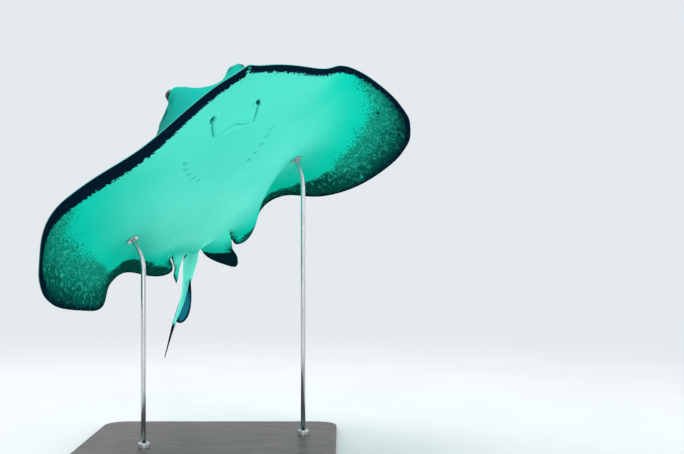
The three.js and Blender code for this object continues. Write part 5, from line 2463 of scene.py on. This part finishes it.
@dataclass(frozen=True)
class Collars(SteelPart):
    """Round collars that hold the rods to the board, each with a small socket screw."""

    chamfer: float = 0.004
    fillet_steps: int = 8
    sides: int = 64
    play: float = 0.00015
    foot_break: float = 0.0004
    screw_radius: float = 0.0022
    screw_length: float = 0.003
    screw_height: float = 0.0055
    screw_out: float = 0.0006
    screw_sides: int = 24
    crisp_angle: float = 40.0

    def part(self, seat: Seat) -> Piece:
        """One collar: a turned ring with a rounded shoulder, and its screw."""
        node = f"stand_collar_{seat.wing.name}"
        low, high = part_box(node)
        centre = (low + high) / 2
        radius = (high.x - low.x) / 2
        bore = Rods.radius + self.play
        small = self.foot_break
        profile = [(bore, low.z), (radius - small, low.z), (radius, low.z + small)]
        profile += [(radius - self.chamfer * inward, high.z - self.chamfer * up)
                    for inward, up in rounding(self.fillet_steps)]
        profile += [(bore + small, high.z), (bore, high.z - small)]
        work = bmesh.new()
        rings = [
            [work.verts.new((centre.x + out * math.cos(turn), centre.y + out * math.sin(turn), z))
             for out, z in profile]
            for turn in circle(self.sides)
        ]
        for here, after in zip(rings, [*rings[1:], rings[0]]):
            for j in range(len(profile)):
                following = (j + 1) % len(profile)
                work.faces.new((here[j], here[following], after[following], after[j]))
        spot = (centre.x, low.y + radius * 0.02 - self.screw_out, low.z + self.screw_height)
        turned = Matrix.Translation(spot) @ Matrix.Rotation(math.radians(90), 4, "X")
        bmesh.ops.create_cone(work, cap_ends=True, segments=self.screw_sides, radius1=self.screw_radius,
                              radius2=self.screw_radius, depth=self.screw_length, matrix=turned)
        piece = add_piece(worked_mesh(work, f"collar_{seat.wing.name}"), "steel", self.steel, node)
        piece.data.set_sharp_from_angle(angle=math.radians(self.crisp_angle))
        return piece


# --- the studio


@dataclass(frozen=True)
class Lamp:
    """A large soft lamp: where it hangs, how wide it is, and its power in watts."""

    name: str
    place: tuple
    size: float
    power: float


@dataclass(frozen=True)
class Studio:
    """A pale floor that melts into the backdrop, soft lights, and the camera."""

    floor: tuple = paint(212, 217, 220)
    floor_cloud: float = 0.97
    floor_drop: float = 0.0002
    backdrop: tuple = paint(228, 234, 238)
    reach: float = 40.0
    fade: tuple = (1.2, 3.5)
    world_strength: float = 1.06
    aim: tuple = (0.0, 0.1, 0.6)
    lamps: tuple = (
        Lamp("front_lamp", (0.3, -3.6, 0.3), 2.6, 30.0),
        Lamp("side_lamp", (3.4, -0.6, 1.6), 2.4, 24.0),
        Lamp("top_lamp", (-0.8, 0.8, 3.6), 3.0, 56.0),
    )
    camera_place: tuple = (0.335, -2.92, 0.56)
    lens: float = 60.0
    sensor: float = 36.0

    def build(self) -> None:
        """The whole studio."""
        self.build_floor()
        self.build_world()
        self.build_lamps()
        self.build_camera()

    @staticmethod
    def stand_in(name: str, data: bpy.types.ID, place: tuple = (0.0, 0.0, 0.0)) -> Piece:
        """Adds an object to the scene at a place."""
        made = bpy.data.objects.new(name, data)
        bpy.context.scene.collection.objects.link(made)
        made.location = place
        return made

    def build_floor(self) -> None:
        """A wide floor that melts into the backdrop away from the model."""
        mesh = bpy.data.meshes.new("studio_floor")
        corners = ((-1, -1), (1, -1), (1, 1), (-1, 1))
        points = [(self.reach * x, self.reach * y, -self.floor_drop) for x, y in corners]
        mesh.from_pydata(points, [], [(0, 1, 2, 3)])
        coat = Coat("matt_floor")
        graph = coat.graph
        place = graph.place()
        darker = (*(self.floor_cloud * level for level in self.floor[:3]), 1.0)
        colour = place.noise(3.0, 3.0).step(0.3, 0.7).blend(self.floor, darker)
        material = coat.dressed(Base_Color=colour, Roughness=0.9, Specular_IOR_Level=0.1)
        glow = graph.out("ShaderNodeEmission", {"Color": self.backdrop, "Strength": 1.0})
        fade = place.length().step(*self.fade) * self.seen(graph)
        mixed = graph.out("ShaderNodeMixShader", {0: fade, 1: Wire(graph, coat.shader.outputs[0]), 2: glow})
        graph.feed(material.node_tree.nodes["Material Output"], {"Surface": mixed})
        mesh.materials.append(material)
        self.stand_in("studio_floor", mesh)

    @staticmethod
    def seen(graph: Graph) -> Wire:
        """1 for rays that the eye follows, straight or by a gloss or through glass."""
        path = graph.node("ShaderNodeLightPath", {})
        camera, glossy, through = (
            Wire(graph, path.outputs[f"Is {kind} Ray"]) for kind in ("Camera", "Glossy", "Transmission")
        )
        return camera | glossy | through

    def build_world(self) -> None:
        """Even light from all round, with a pale backdrop for the eye."""
        world = bpy.data.worlds.new("studio_world")
        bpy.context.scene.world = world
        world.use_nodes = True
        graph = Graph(world.node_tree)
        seen = self.seen(graph)
        graph.feed(world.node_tree.nodes["Background"], {
            "Color": seen.blend((1.0, 1.0, 1.0, 1.0), self.backdrop),
            "Strength": seen.step(0.0, 1.0, self.world_strength, 1.0),
        })

    def build_lamps(self) -> None:
        """Large soft lamps: in front and low, at the side, and above."""
        for lamp in self.lamps:
            data = bpy.data.lights.new(lamp.name, "AREA")
            data.shape = "DISK"
            data.size = lamp.size
            data.energy = lamp.power
            made = self.stand_in(lamp.name, data, lamp.place)
            towards = Vector(self.aim) - made.location
            made.rotation_euler = towards.to_track_quat("-Z", "Y").to_euler()

    def build_camera(self) -> None:
        """The camera, level and looking along +Y."""
        data = bpy.data.cameras.new("camera")
        data.lens = self.lens
        data.sensor_width = self.sensor
        camera = self.stand_in("camera", data, self.camera_place)
        camera.rotation_euler = (math.radians(90), 0.0, 0.0)
        bpy.context.scene.camera = camera


# --- making it all


def report(*pieces: Piece) -> None:
    """Says in the log what was built."""
    for piece in pieces:
        LOG.info("%s: %d faces", piece.name, len(piece.data.polygons))


def main() -> None:
    """Builds the animal, its stand and the studio."""
    logging.basicConfig(level=logging.INFO, format="%(name)s: %(message)s")
    bpy.context.scene.view_settings.view_transform = "Standard"
    steel = SteelFinish().material()
    for assembly in (Skin(), Eyes(), Sting(), Thorns(), Board(), Pads(steel), Rods(steel), Collars(steel)):
        report(*assembly.build())
    Studio().build()
    bpy.context.view_layer.update()


if __name__ == "__main__":
    main()
